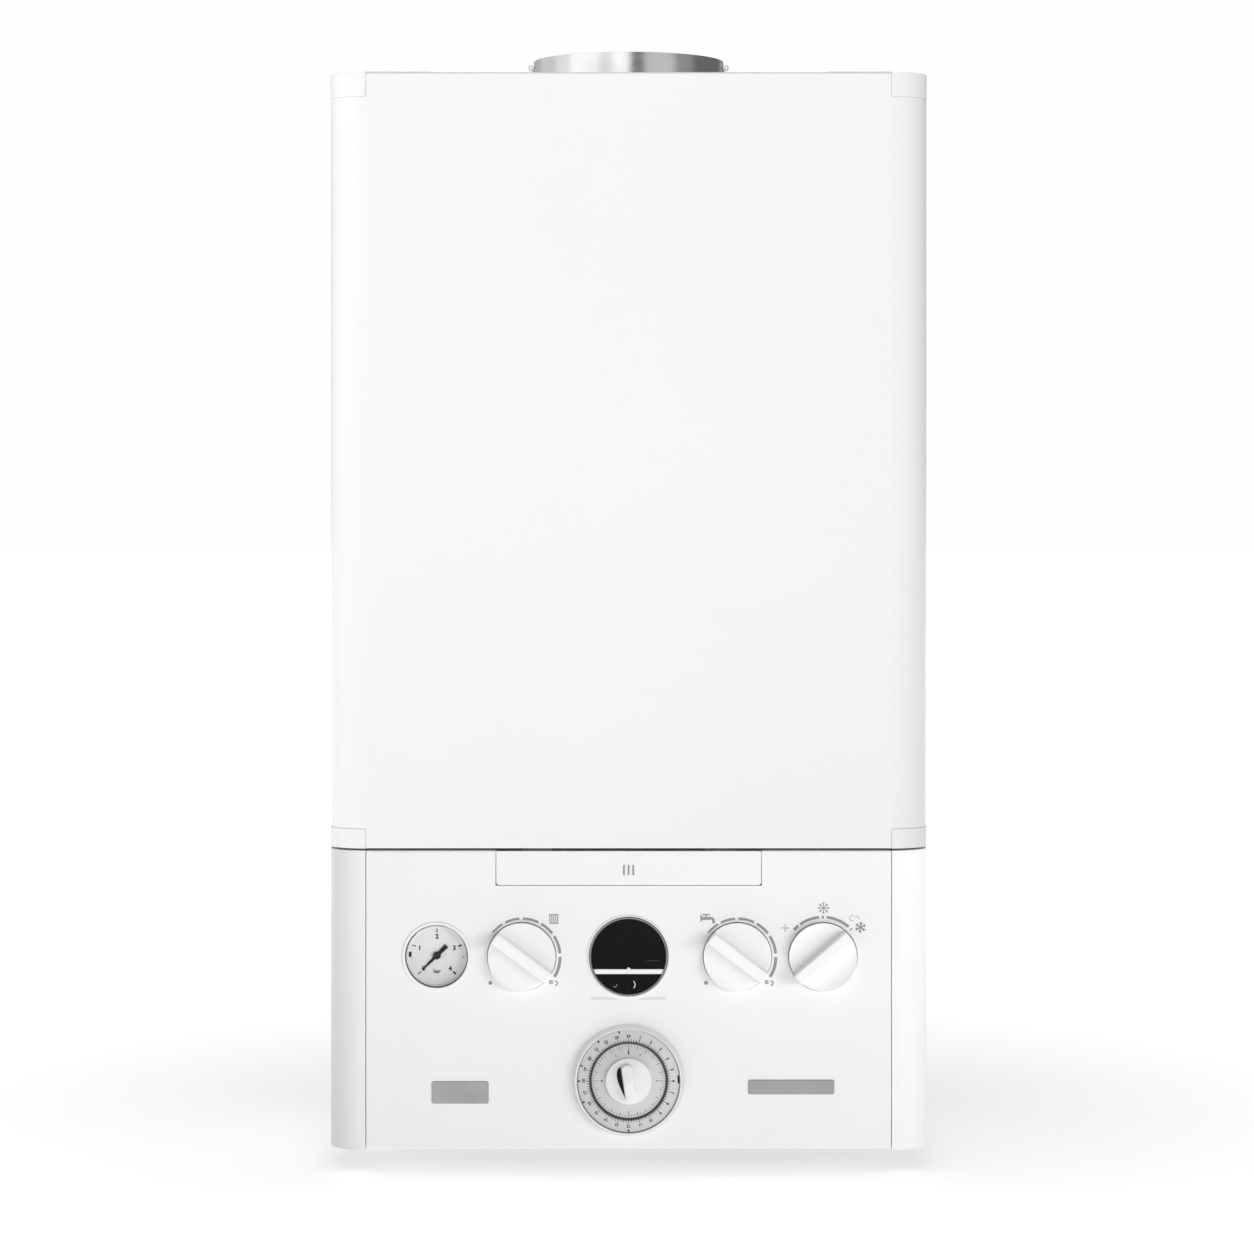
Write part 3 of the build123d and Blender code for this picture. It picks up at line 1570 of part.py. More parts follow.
with BuildPart() as gas_pipes:
    with BuildSketch(Plane.XY.offset(tail_end)):
        with Locations((0, tail_y)):
            Circle(pipe_large)
            Circle(pipe_large - pipe_wall, mode=Mode.SUBTRACT)
    extrude(amount=valve_bottom - tail_end)
    with BuildSketch(Plane.XY.offset(nut_low)):
        with Locations((0, tail_y)):
            RegularPolygon(pipe_large + tail_nut_wall, 6)
            Circle(pipe_large - pipe_wall, mode=Mode.SUBTRACT)
    extrude(amount=tail_nut_height)
    with BuildLine() as injector_run:
        FilletPolyline(
            (-valve_half, injector_y, injector_z),
            (fan_x, injector_y, injector_z),
            (fan_x, injector_y, spigot_z),
            radius=injector_bend,
        )
    with BuildSketch(Plane(origin=injector_run.line @ 0, z_dir=injector_run.line % 0)):
        Circle(pipe_thin)
        Circle(pipe_thin - pipe_wall, mode=Mode.SUBTRACT)
    sweep()
save(gas_pipes, "gas_pipes")

# ================================================================ expansion vessel
with BuildPart() as vessel_space:
    with BuildSketch(Plane.XZ.offset(-vessel_rear + vessel_wall)):
        with Locations((0, vessel_z)):
            Circle(vessel_radius - vessel_wall)
    extrude(amount=vessel_depth - 2 * vessel_wall)
    fillet(vessel_space.edges().filter_by(GeomType.CIRCLE), vessel_round - vessel_wall)

# flat vessel standing off the back sheet on its boss, with the water stub below
with BuildPart() as expansion_vessel:
    with BuildSketch(Plane.XZ.offset(-vessel_rear)):
        with Locations((0, vessel_z)):
            Circle(vessel_radius)
    extrude(amount=vessel_depth)
    fillet(expansion_vessel.edges().filter_by(GeomType.CIRCLE), vessel_round)
    with BuildSketch(Plane.XZ.offset(sheet)):
        with Locations((0, vessel_z)):
            Circle(vessel_boss)
    extrude(amount=vessel_set_off - sheet + vessel_boss_lap)
    with BuildSketch(Plane.XY.offset(vessel_stub_z)):
        with Locations((0, vessel_middle)):
            Circle(vessel_stub_radius)
    extrude(amount=vessel_stub_length + vessel_stub_lap)
    add(vessel_space.part, mode=Mode.SUBTRACT)
    with BuildSketch(Plane.XY.offset(vessel_stub_z)):
        with Locations((0, vessel_middle)):
            Circle(pipe_vessel - pipe_wall)
    extrude(amount=2 * vessel_stub_length, mode=Mode.SUBTRACT)
save(expansion_vessel, "expansion_vessel")

# ================================================================ hydraulic blocks
with BuildPart() as flow_block:
    span_box((-block_outer, block_front, block_bottom), (-block_inner, block_rear, block_top))
    fillet(flow_block.edges().filter_by(Axis.Z), block_round)
    span_box((-block_outer, foot_front, floor_z + sheet), (-block_inner, foot_rear, block_bottom))
    with BuildSketch(Plane.XY.offset(block_top)):
        with Locations((-heating_tail_x, tail_y)):
            Circle(spindle_radius + running_fit)
    extrude(amount=-diverter_bore_depth, mode=Mode.SUBTRACT)
save(flow_block, "flow_block")

with BuildPart() as return_block:
    span_box((block_inner, block_front, block_bottom), (block_outer, block_rear, block_top))
    fillet(return_block.edges().filter_by(Axis.Z), block_round)
    span_box((block_inner, foot_front, floor_z + sheet), (block_outer, foot_rear, block_bottom))
save(return_block, "return_block")

# stack of brazed plates: grooved edge outside, hollow channels inside
with BuildPart() as plate_exchanger:
    span_box((-block_inner, plate_front, plate_bottom), (block_inner, plate_rear, plate_top))
    plate_centre = (0, (plate_front + plate_rear) / 2, (plate_bottom + plate_top) / 2)
    with Locations(plate_centre):
        with GridLocations(groove_pitch, groove_pitch, 1, groove_count):
            Box(
                2 * (block_inner - plate_lip),
                groove_width,
                plate_height + 2 * cut_margin,
                mode=Mode.SUBTRACT,
            )
    with Locations(plate_centre):
        Box(2 * (block_inner - plate_core_inset), plate_depth, plate_height - 2 * plate_core_drop)
        with GridLocations(groove_pitch, groove_pitch, 1, groove_count):
            Box(
                2 * (block_inner - plate_space_inset),
                channel_width,
                plate_height - 2 * plate_space_drop,
                mode=Mode.SUBTRACT,
            )
save(plate_exchanger, "plate_exchanger")

with BuildPart() as diverter_motor:
    span_box(
        (-heating_tail_x - actuator_half, tail_y - actuator_half, block_top),
        (-heating_tail_x + actuator_half, tail_y + actuator_half, block_top + actuator_height),
    )
    fillet(diverter_motor.edges().filter_by(Axis.Z), actuator_round)
    with BuildSketch(Plane.XY.offset(block_top)):
        with Locations((-heating_tail_x, tail_y)):
            Circle(actuator_bore)
    extrude(amount=actuator_bore_depth, mode=Mode.SUBTRACT)
save(diverter_motor, "diverter_motor")

with BuildPart() as diverter_spindle:
    with BuildSketch(Plane.XY.offset(block_top - diverter_below)):
        with Locations((-heating_tail_x, tail_y)):
            Circle(spindle_radius)
    extrude(amount=diverter_below + diverter_above)
    with BuildSketch(Plane.XY.offset(block_top + diverter_disc_rise)):
        with Locations((-heating_tail_x, tail_y)):
            Circle(diverter_disc_radius)
    extrude(amount=diverter_disc_thickness)
save(diverter_spindle, "diverter_spindle")

# ================================================================ pump
with BuildPart() as pump_body:
    with BuildSketch(Plane.XZ.offset(-pump_rear)):
        with Locations((heating_tail_x, pump_z)):
            Circle(pump_radius)
    extrude(amount=pump_depth)
    with BuildSketch(Plane.XZ.offset(-pump_front)):
        with Locations((heating_tail_x, pump_z)):
            Circle(pump_motor_radius)
    extrude(amount=pump_motor_length)
    neck_front = pump_front + pump_neck_front
    span_box(
        (heating_tail_x - pump_neck_half, neck_front, block_top),
        (
            heating_tail_x + pump_neck_half,
            neck_front + 2 * pump_neck_half,
            pump_z - pump_radius + pump_neck_lap,
        ),
    )
    vent_z = pump_z + pump_radius - vent_lap
    for stem_radius, stem_low, stem_height in (
        (vent_radius, vent_z, vent_height),
        (vent_cap_radius, vent_z + vent_height, vent_cap_height),
    ):
        with BuildSketch(Plane.XY.offset(stem_low)):
            with Locations((heating_tail_x, tail_y - vent_forward)):
                Circle(stem_radius)
        extrude(amount=stem_height)
    with BuildSketch(Plane.XZ.offset(-pump_rear + volute_wall)):
        with Locations((heating_tail_x, pump_z)):
            Circle(impeller_radius + impeller_gap)
    extrude(amount=chamber_depth, mode=Mode.SUBTRACT)
    with BuildSketch(Plane.XZ.offset(-pump_front)):
        with Locations((heating_tail_x, pump_z)):
            Circle(rotor_radius + rotor_gap)
    extrude(amount=rotor_space, mode=Mode.SUBTRACT)
    with BuildSketch(Plane.XZ.offset(-pump_front)):
        with Locations((heating_tail_x, pump_z)):
            Circle(shaft_radius + running_fit)
    extrude(amount=-bearing_length, mode=Mode.SUBTRACT)
save(pump_body, "pump_body")

with BuildPart() as pump_rotor:
    with BuildSketch(Plane.XZ.offset(-pump_rear + impeller_set_in)):
        with Locations((heating_tail_x, pump_z)):
            Circle(impeller_radius)
    extrude(amount=impeller_depth)
    with BuildSketch(Plane.XZ.offset(-pump_rear + impeller_set_in)):
        with Locations((heating_tail_x, pump_z)):
            Circle(shaft_radius)
    extrude(amount=shaft_length)
    with BuildSketch(Plane.XZ.offset(-pump_front + rotor_set_in)):
        with Locations((heating_tail_x, pump_z)):
            Circle(rotor_radius)
    extrude(amount=rotor_length)
save(pump_rotor, "pump_rotor")

with BuildPart() as safety_valve:
    with BuildSketch(Plane.XY.offset(safety_bottom)):
        with Locations((safety_x, tail_y)):
            Circle(safety_radius)
    extrude(amount=safety_length)
    neck_low = safety_bottom + safety_neck_rise
    span_box(
        (block_outer, tail_y - safety_neck_half, neck_low),
        (safety_x, tail_y + safety_neck_half, neck_low + 2 * safety_neck_half),
    )
    with BuildSketch(Plane.XY.offset(safety_top)):
        with Locations((safety_x, tail_y)):
            Circle(safety_cap_radius)
    extrude(amount=safety_cap_height)
save(safety_valve, "safety_valve")

# ================================================================ pipes
flow_x = cell_left + flow_pipe_inset
flow_down_x = -(block_inner + pipe_inset)
return_x = block_inner + return_pipe_inset
return_z = pump_z + return_pipe_rise
vessel_down_x = block_inner + pipe_inset
flow_route = (
    (flow_x, flow_pipe_y, cell_bottom),
    (flow_x, flow_pipe_y, cross_z),
    (flow_down_x, flow_pipe_y, cross_z),
    (flow_down_x, flow_pipe_y, block_top),
)
return_route = (
    (return_x, return_pipe_y, cell_bottom),
    (return_x, return_pipe_y, return_z),
    (return_x, pump_rear, return_z),
)
vessel_route = (
    (0, vessel_middle, vessel_stub_z),
    (0, vessel_middle, vessel_cross_z),
    (vessel_down_x, vessel_middle, vessel_cross_z),
    (vessel_down_x, vessel_middle, block_top),
)
with BuildPart() as water_pipes:
    for run_radius, route in (
        (pipe_large, flow_route),
        (pipe_large, return_route),
        (pipe_vessel, vessel_route),
    ):
        with BuildLine() as water_run:
            FilletPolyline(*route, radius=pipe_bend_ratio * run_radius)
        with BuildSketch(Plane(origin=water_run.line @ 0, z_dir=water_run.line % 0)):
            Circle(run_radius)
            Circle(run_radius - pipe_wall, mode=Mode.SUBTRACT)
        sweep()
save(water_pipes, "water_pipes")

with BuildPart() as connection_tails:
    for side in (-1, 1):
        with BuildSketch(Plane.XY.offset(tail_end)):
            with Locations((side * heating_tail_x, tail_y)):
                Circle(pipe_large)
                Circle(pipe_large - pipe_wall, mode=Mode.SUBTRACT)
        extrude(amount=block_bottom - tail_end)
        with BuildLine() as tail_run:
            FilletPolyline(
                (side * water_tail_x, tail_y, tail_end),
                (side * water_tail_x, tail_y, tail_turn_z),
                (side * block_inner, tail_y, tail_turn_z),
                radius=tail_bend,
            )
        with BuildSketch(Plane(origin=tail_run.line @ 0, z_dir=tail_run.line % 0)):
            Circle(pipe_small)
            Circle(pipe_small - pipe_wall, mode=Mode.SUBTRACT)
        sweep()
    with BuildSketch(Plane.XY.offset(tail_end)):
        with Locations((safety_x, tail_y)):
            Circle(pipe_small)
            Circle(pipe_small - pipe_wall, mode=Mode.SUBTRACT)
    extrude(amount=safety_bottom - tail_end)
    with BuildSketch(Plane.XY.offset(nut_low)):
        with Locations((-heating_tail_x, tail_y), (heating_tail_x, tail_y)):
            RegularPolygon(pipe_large + tail_nut_wall, 6)
        with Locations((-water_tail_x, tail_y), (water_tail_x, tail_y), (safety_x, tail_y)):
            RegularPolygon(pipe_small + tail_nut_wall, 6)
        with Locations((-heating_tail_x, tail_y), (heating_tail_x, tail_y)):
            Circle(pipe_large - pipe_wall, mode=Mode.SUBTRACT)
        with Locations((-water_tail_x, tail_y), (water_tail_x, tail_y), (safety_x, tail_y)):
            Circle(pipe_small - pipe_wall, mode=Mode.SUBTRACT)
    extrude(amount=tail_nut_height)
save(connection_tails, "connection_tails")

# trap cup below the cell, with its drain tube down through the floor
with BuildPart() as condensate_trap:
    with BuildSketch(Plane.XY.offset(trap_bottom)):
        with Locations((drain_x, drain_y)):
            Circle(trap_radius)
    extrude(amount=trap_height)
    fillet(condensate_trap.edges().filter_by(GeomType.CIRCLE), trap_round)
    with BuildSketch(Plane.XY.offset(trap_top)):
        with Locations((drain_x, drain_y)):
            Circle(trap_neck)
    extrude(amount=trap_drop)
    with BuildSketch(Plane.XY.offset(tail_end)):
        with Locations((drain_x, drain_y)):
            Circle(drain_radius)
    extrude(amount=trap_bottom - tail_end)
    with BuildSketch(Plane.XY.offset(nut_low)):
        with Locations((drain_x, drain_y)):
            Circle(drain_radius + drain_nut_wall)
    extrude(amount=tail_nut_height)
    with BuildSketch(Plane.XY.offset(tail_end)):
        with Locations((drain_x, drain_y)):
            Circle(drain_radius - drain_wall)
    extrude(amount=trap_bottom - tail_end + trap_wall, mode=Mode.SUBTRACT)
    with BuildSketch(Plane.XY.offset(trap_bottom + trap_wall)):
        with Locations((drain_x, drain_y)):
            Circle(trap_radius - trap_wall)
    extrude(amount=trap_height - 2 * trap_wall, mode=Mode.SUBTRACT)
save(condensate_trap, "condensate_trap")
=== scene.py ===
"""Looks of a wall-hung combi boiler: finishes, printed marks, studio and camera.

Lengths are in metres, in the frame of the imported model: x to the right, y towards the wall, z up.
The front faces -y. Angles are in degrees, counter-clockwise from the right as seen from the front.
"""
import logging
from dataclasses import dataclass
from enum import Enum
from math import ceil, cos, pi, radians, sin
from typing import ClassVar, Iterable, NamedTuple, Optional

import bmesh
import bpy
from mathutils import Matrix, Vector


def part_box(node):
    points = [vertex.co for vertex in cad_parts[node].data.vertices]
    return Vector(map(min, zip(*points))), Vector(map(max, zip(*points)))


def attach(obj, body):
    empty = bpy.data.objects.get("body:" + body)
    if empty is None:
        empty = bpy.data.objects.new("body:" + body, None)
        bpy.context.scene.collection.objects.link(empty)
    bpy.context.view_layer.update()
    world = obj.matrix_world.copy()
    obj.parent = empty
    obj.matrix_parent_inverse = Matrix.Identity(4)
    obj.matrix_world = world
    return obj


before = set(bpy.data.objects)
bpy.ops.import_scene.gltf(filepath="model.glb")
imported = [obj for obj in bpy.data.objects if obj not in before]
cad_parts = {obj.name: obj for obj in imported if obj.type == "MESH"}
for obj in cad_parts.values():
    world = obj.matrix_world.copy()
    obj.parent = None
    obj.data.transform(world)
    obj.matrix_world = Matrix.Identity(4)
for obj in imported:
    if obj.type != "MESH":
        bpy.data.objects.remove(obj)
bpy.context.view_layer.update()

LOG = logging.getLogger("boiler")

Colour = tuple[float, float, float]
Place = tuple[float, float, float]
Point = tuple[float, float]
Socket = bpy.types.NodeSocket
Value = Colour | Socket | float

ORIGIN: Point = (0.0, 0.0)
SHELL_WHITE: Colour = (0.84, 0.848, 0.85)
JET_BLACK: Colour = (0.004, 0.004, 0.0045)
INK_BLACK: Colour = (0.012, 0.012, 0.013)


class Slot(Enum):
    """The material slots of the record."""

    ENAMEL_WHITE = "enamel_white"
    GALVANISED = "galvanised"
    MOULDING_WHITE = "moulding_white"
    KNOB_WHITE = "knob_white"
    HOUSING_GREY = "housing_grey"
    BOARD_GREEN = "board_green"
    CONTACT_BLACK = "contact_black"
    DIAL_SILVER = "dial_silver"
    TAPPET_DARK = "tappet_dark"
    DIAL_FACE = "dial_face"
    DARK_CHROME = "dark_chrome"
    GLASS_BLACK = "glass_black"
    KEY_BLACK = "key_black"
    CLEAR_GLASS = "clear_glass"
    NEEDLE_BLACK = "needle_black"
    COLLAR_STEEL = "collar_steel"
    SPRING_STEEL = "spring_steel"
    DUCT_WHITE = "duct_white"
    CAST_ALUMINIUM = "cast_aluminium"
    BURNER_STEEL = "burner_steel"
    ZINC_PLATED = "zinc_plated"
    CERAMIC_WHITE = "ceramic_white"
    MOTOR_BLACK = "motor_black"
    WHEEL_GREY = "wheel_grey"
    COMPOSITE_DARK = "composite_dark"
    PUMP_IRON = "pump_iron"
    ROTOR_STEEL = "rotor_steel"
    BRASS_PLAIN = "brass_plain"
    COPPER_PLAIN = "copper_plain"
    VESSEL_RED = "vessel_red"
    PLATE_STEEL = "plate_steel"
    TRAP_GREY = "trap_grey"


class Ink(Enum):
    """The printing inks: material name, colour, and the record's slot that each stands under."""

    GRIP = ("ink_grip", (0.26, 0.27, 0.28), Slot.HOUSING_GREY)
    DIAL_BLACK = ("ink_dial_black", INK_BLACK, Slot.CONTACT_BLACK)
    DIAL_GREY = ("ink_dial_grey", (0.30, 0.30, 0.31), Slot.HOUSING_GREY)
    SCALE = ("ink_scale", (0.27, 0.285, 0.29), Slot.HOUSING_GREY)
    FAINT = ("ink_faint", (0.42, 0.43, 0.44), Slot.HOUSING_GREY)
    KEY_DIM = ("ink_key_dim", (0.30, 0.31, 0.32), Slot.MOULDING_WHITE)
    KEY_SIGN = ("ink_key_sign", (0.78, 0.79, 0.80), Slot.MOULDING_WHITE)
    SMOKE = ("ink_smoke", (0.035, 0.036, 0.038), Slot.CONTACT_BLACK)
    PALE = ("ink_pale", (0.66, 0.665, 0.67), Slot.MOULDING_WHITE)
    # Prints black marks on the timer, and also the painted shadow beside the selector's grip.
    TIMER_BLACK = ("timer_black_ink_and_shadow", INK_BLACK, Slot.CONTACT_BLACK)
    TIMER_GREY = ("ink_timer_grey", (0.045, 0.045, 0.048), Slot.CONTACT_BLACK)
    TIMER_SOFT = ("ink_timer_soft", (0.11, 0.11, 0.115), Slot.HOUSING_GREY)


class Grain(Enum):
    """The way that the lines of a brushed finish run, as the share of each axis in the pattern."""

    LEVEL = (0.02, 1.0, 1.0)
    UPRIGHT = (1.0, 1.0, 0.02)
    ROUND = (0.02, 0.02, 1.0)


class Tick(NamedTuple):
    """A radial mark from an inner to an outer radius."""

    angle: float
    inner: float
    outer: float
    width: float


@dataclass(frozen=True)
class Crown:
    """A face that seems to fall away evenly from its middle.

    Attributes:
        fall: How much it falls over its width.
        share: How much of the finish's own grain shows on it.
        width: From the middle to where the fall ends.
    """

    middle: Point
    fall: float
    share: float
    width: float = 0.040


class Graph:
    """A node tree in the making, with short ways to add and join its nodes."""

    def __init__(self, owner: bpy.types.Material | bpy.types.World, space: str = "Object") -> None:
        """Empties the owner's tree.

        Args:
            owner: The material or the world.
            space: The coordinates that patterns are read in.
        """
        owner.use_nodes = True
        self.tree = owner.node_tree
        self.tree.nodes.clear()
        self.place = self.node("ShaderNodeTexCoord").outputs[space]

    def feed(self, node: bpy.types.Node, values: dict[str | int, Value]) -> None:
        """Sets or links inputs of a node.

        Args:
            node: The node.
            values: What each input gets, either a plain value or the output of another node.
        """
        for key, value in values.items():
            socket = node.inputs[key]
            if isinstance(value, Socket):
                self.tree.links.new(value, socket)
            elif socket.type == "RGBA":
                socket.default_value = (*value, 1.0)
            else:
                socket.default_value = value

    def node(self, kind: str, values: Optional[dict[str | int, Value]] = None,
             **settings) -> bpy.types.Node:
        """Adds one node.

        Args:
            kind: The node's type name.
            values: What its inputs get.
            settings: Properties to set on it.

        Returns:
            The new node.
        """
        made = self.tree.nodes.new(kind)
        for key, value in settings.items():
            setattr(made, key, value)
        self.feed(made, values or {})
        return made

    def math(self, operation: str, *values: Value) -> Socket:
        """The result of one of Blender's operations on numbers."""
        return self.node("ShaderNodeMath", dict(enumerate(values)), operation=operation).outputs[0]

    def sum(self, first: Socket, second: Socket, share: float) -> Socket:
        """One value plus a share of a second one."""
        return self.math("MULTIPLY_ADD", second, share, first)

    def axis(self, name: str) -> Socket:
        """One coordinate of a point, "X", "Y" or "Z"."""
        return self.node("ShaderNodeSeparateXYZ", {"Vector": self.place}).outputs[name]

    def stretched(self, scale: Place) -> Socket:
        """The place of a point, with each axis scaled."""
        mapping = self.node("ShaderNodeMapping", {"Vector": self.place, "Scale": scale})
        return mapping.outputs["Vector"]

    def distance(self, place: Socket, middle: Place) -> Socket:
        """How far a place is from a middle."""
        between = self.node("ShaderNodeVectorMath", {0: place, 1: middle}, operation="DISTANCE")
        return between.outputs["Value"]

    def noise(self, size: float, detail: float = 2.0, place: Optional[Socket] = None) -> Socket:
        """Soft noise from 0 to 1, in blotches of a size with octaves of finer detail."""
        values = {"Vector": place or self.place, "Scale": 1.0 / size, "Detail": detail}
        return self.node("ShaderNodeTexNoise", values).outputs["Fac"]

    def cells(self, size: float, output: str = "Distance", place: Optional[Socket] = None,
              feature: str = "F1") -> Socket:
        """A cell pattern: "Distance" within each cell or "Color" of the whole cell."""
        values = {"Vector": place or self.place, "Scale": 1.0 / size}
        return self.node("ShaderNodeTexVoronoi", values, feature=feature).outputs[output]

    def spread(self, source: Socket, low: float, high: float,
               start: float = 0.0, end: float = 1.0) -> Socket:
        """Maps a value from start..end to low..high, clamped."""
        values = {"Value": source, "From Min": start, "From Max": end,
                  "To Min": low, "To Max": high}
        return self.node("ShaderNodeMapRange", values).outputs["Result"]

    def mask(self, source: Socket, start: float, end: float) -> Socket:
        """A value that rises from 0 to 1 while the source goes from start to end."""
        return self.spread(source, 0.0, 1.0, start, end)

    def mixed(self, factor: Socket, first: Colour | Socket, second: Colour | Socket) -> Socket:
        """A mix of two colours, the first at factor 0 and the second at 1."""
        values = {"Factor": factor, 6: first, 7: second}
        return self.node("ShaderNodeMix", values, data_type="RGBA").outputs[2]


class Surface(Graph):
    """The graph of a material that ends in one principled shader."""

    def __init__(self, name: str) -> None:
        """Starts the material.

        Args:
            name: Its name.
        """
        self.material = bpy.data.materials.new(name)
        super().__init__(self.material)
        self.shader = self.node("ShaderNodeBsdfPrincipled")
        self.node("ShaderNodeOutputMaterial", {"Surface": self.shader.outputs["BSDF"]})

    def shade(self, values: dict[str, Value]) -> None:
        """Sets or links inputs of the shader."""
        self.feed(self.shader, values)

    def relief(self, height: Socket, depth: float, edge: float = 0.0,
               crown: Optional[Crown] = None) -> None:
        """Bumps the surface, and rounds its sharp edges where edge is given.

        Args:
            height: Relief value from 0 to 1.
            depth: Real depth of the relief.
            edge: Radius of the rounded edge in the shading.
            crown: A crown that takes the place of the depth and the edge.
        """
        if crown:
            flat = self.stretched((1.0, 0.0, 1.0))
            away = self.distance(flat, (crown.middle[0], 0.0, crown.middle[1]))
            height = self.sum(self.spread(away, 1.0, 0.0, 0.0, crown.width), height, crown.share)
        distance = crown.fall if crown else depth
        bump = self.node("ShaderNodeBump",
                         {"Height": height, "Strength": 1.0, "Distance": distance})
        if edge and not crown:
            rounded = self.node("ShaderNodeBevel", {"Radius": edge}, samples=4)
            self.feed(bump, {"Normal": rounded.outputs["Normal"]})
        self.shade({"Normal": bump.outputs["Normal"]})


def dimmed(colour: Colour, share: float) -> Colour:
    """A colour with a share of its brightness."""
    return tuple(part * share for part in colour)


@dataclass(frozen=True)
class Finish:
    """What a surface is coated with or made of."""

    def build(self, name: str) -> bpy.types.Material:
        """Makes the material.

        Args:
            name: The material's name.

        Returns:
            The material.
        """
        surface = Surface(name)
        self.paint(surface)
        return surface.material

    def paint(self, on: Surface) -> None:
        """Sets up the look; every kind of finish has its own."""
        raise NotImplementedError


@dataclass(frozen=True)
class SprayedCoat(Finish):
    """Sprayed and baked paint on metal: even colour, orange peel and a faint cloudiness.

    Attributes:
        peel: Width of one dimple of the orange peel.
        edge: Radius that sharp edges seem to have.
    """

    colour: Colour
    gloss_low: float = 0.30
    gloss_high: float = 0.40
    peel: float = 0.0016
    depth: float = 0.000012
    edge: float = 0.0004

    def paint(self, on: Surface) -> None:
        """Sets up the clouds, the peel and the clear gloss.

        Args:
            on: The surface.
        """
        cloud = on.noise(size=0.12, detail=3.0)
        on.shade({
            "Base Color": on.mixed(cloud, dimmed(self.colour, 0.975), self.colour),
            "Roughness": on.spread(on.noise(size=0.03, detail=4.0),
                                   self.gloss_low, self.gloss_high),
            "Coat Weight": 0.25,
            "Coat Roughness": 0.18,
        })
        on.relief(on.noise(self.peel, detail=1.0), self.depth, self.edge)


@dataclass(frozen=True)
class Moulded(Finish):
    """Moulded plastic with the fine grain of a spark-eroded tool.

    Attributes:
        edge: Radius that sharp edges seem to have.
        glow: Share of light that passes under the surface.
    """

    colour: Colour
    gloss_low: float = 0.34
    gloss_high: float = 0.46
    grain: float = 0.00035
    depth: float = 0.000006
    edge: float = 0.0003
    glow: float = 0.0
    crown: Optional[Crown] = None

    def paint(self, on: Surface) -> None:
        """Sets up the flow marks, the grain and the glow.

        Args:
            on: The surface.
        """
        flow = on.noise(size=0.05, detail=3.0)
        fine = on.noise(self.grain)
        worn = on.sum(flow, fine, share=0.4)
        on.shade({
            "Base Color": on.mixed(flow, dimmed(self.colour, 0.97), self.colour),
            "Roughness": on.spread(worn, self.gloss_low, self.gloss_high, start=0.3, end=1.1),
        })
        on.relief(fine, self.depth, self.edge, self.crown)
        if self.glow:
            on.shade({
                "Subsurface Weight": self.glow,
                "Subsurface Radius": (0.002, 0.002, 0.002),
                "Subsurface Scale": 0.3,
            })


@dataclass(frozen=True)
class ZincSheet(Finish):
    """Hot-dip galvanised sheet with its spangle.

    Attributes:
        spangle: Width of one crystal.
    """

    light: Colour = (0.66, 0.68, 0.70)
    dark: Colour = (0.46, 0.48, 0.50)
    spangle: float = 0.009

    def paint(self, on: Surface) -> None:
        """Sets up the crystals.

        Args:
            on: The surface.
        """
        crystal = on.cells(self.spangle, "Color")
        tone = on.node("ShaderNodeRGBToBW", {"Color": crystal}).outputs["Val"]
        on.shade({
            "Base Color": on.mixed(tone, self.dark, self.light),
            "Roughness": on.spread(tone, 0.28, 0.52),
            "Metallic": 0.9,
        })
        on.relief(on.sum(on.noise(size=0.0008), tone, share=0.3), depth=0.00002, edge=0.0003)


@dataclass(frozen=True)
class BrushedMetal(Finish):
    """Bare metal with fine lines from brushing, rolling or turning.

    Attributes:
        tint: A second colour, for heat tint or passivation.
    """

    colour: Colour
    grain: Grain = Grain.LEVEL
    gloss_low: float = 0.16
    gloss_high: float = 0.30
    line: float = 0.00025
    depth: float = 0.000008
    tint: Optional[Colour] = None

    def paint(self, on: Surface) -> None:
        """Sets up the lines and the clouds of tint.

        Args:
            on: The surface.
        """
        lines = on.noise(self.line, 3.0, on.stretched(self.grain.value))
        cloud = on.mask(on.noise(size=0.02, detail=3.0), start=0.35, end=0.75)
        on.shade({
            "Base Color": on.mixed(cloud, self.colour, self.tint or dimmed(self.colour, 0.88)),
            "Roughness": on.spread(lines, self.gloss_low, self.gloss_high, start=0.3, end=0.7),
            "Metallic": 1.0,
        })
        on.relief(lines, self.depth, edge=0.0002)


@dataclass(frozen=True)
class CastMetal(Finish):
    """Sand- or die-cast metal: grainy skin with darker hollows.

    Attributes:
        metallic: 1 for bare metal, 0 for a painted casting.
    """

    colour: Colour
    hollow: Colour
    metallic: float = 1.0
    grain: float = 0.0012
    depth: float = 0.00008

    def paint(self, on: Surface) -> None:
        """Sets up the skin and its hollows.

        Args:
            on: The surface.
        """
        skin = on.noise(self.grain, detail=4.0)
        raised = on.mask(on.sum(skin, on.noise(size=0.03), share=0.5), start=0.45, end=0.95)
        on.shade({
            "Base Color": on.mixed(raised, self.hollow, self.colour),
            "Roughness": on.spread(skin, 0.62, 0.40),
            "Metallic": self.metallic,
        })
        on.relief(skin, self.depth, edge=0.0004)


@dataclass(frozen=True)
class DrawnTube(Finish):
    """Drawn or turned red metal with patches of tarnish.

    Attributes:
        amount: How far the tarnish spreads, 0 to 1.
    """

    colour: Colour
    tarnish: Colour
    amount: float = 0.5

    def paint(self, on: Surface) -> None:
        """Sets up the patches.

        Args:
            on: The surface.
        """
        patches = on.noise(size=0.018, detail=5.0)
        dull = on.mask(patches, start=0.62 - 0.2 * self.amount, end=0.80)
        on.shade({
            "Base Color": on.mixed(dull, self.colour, self.tarnish),
            "Roughness": on.spread(patches, 0.20, 0.48, start=0.3, end=0.7),
            "Metallic": 1.0,
        })
        on.relief(on.noise(size=0.0006), depth=0.00001, edge=0.0002)


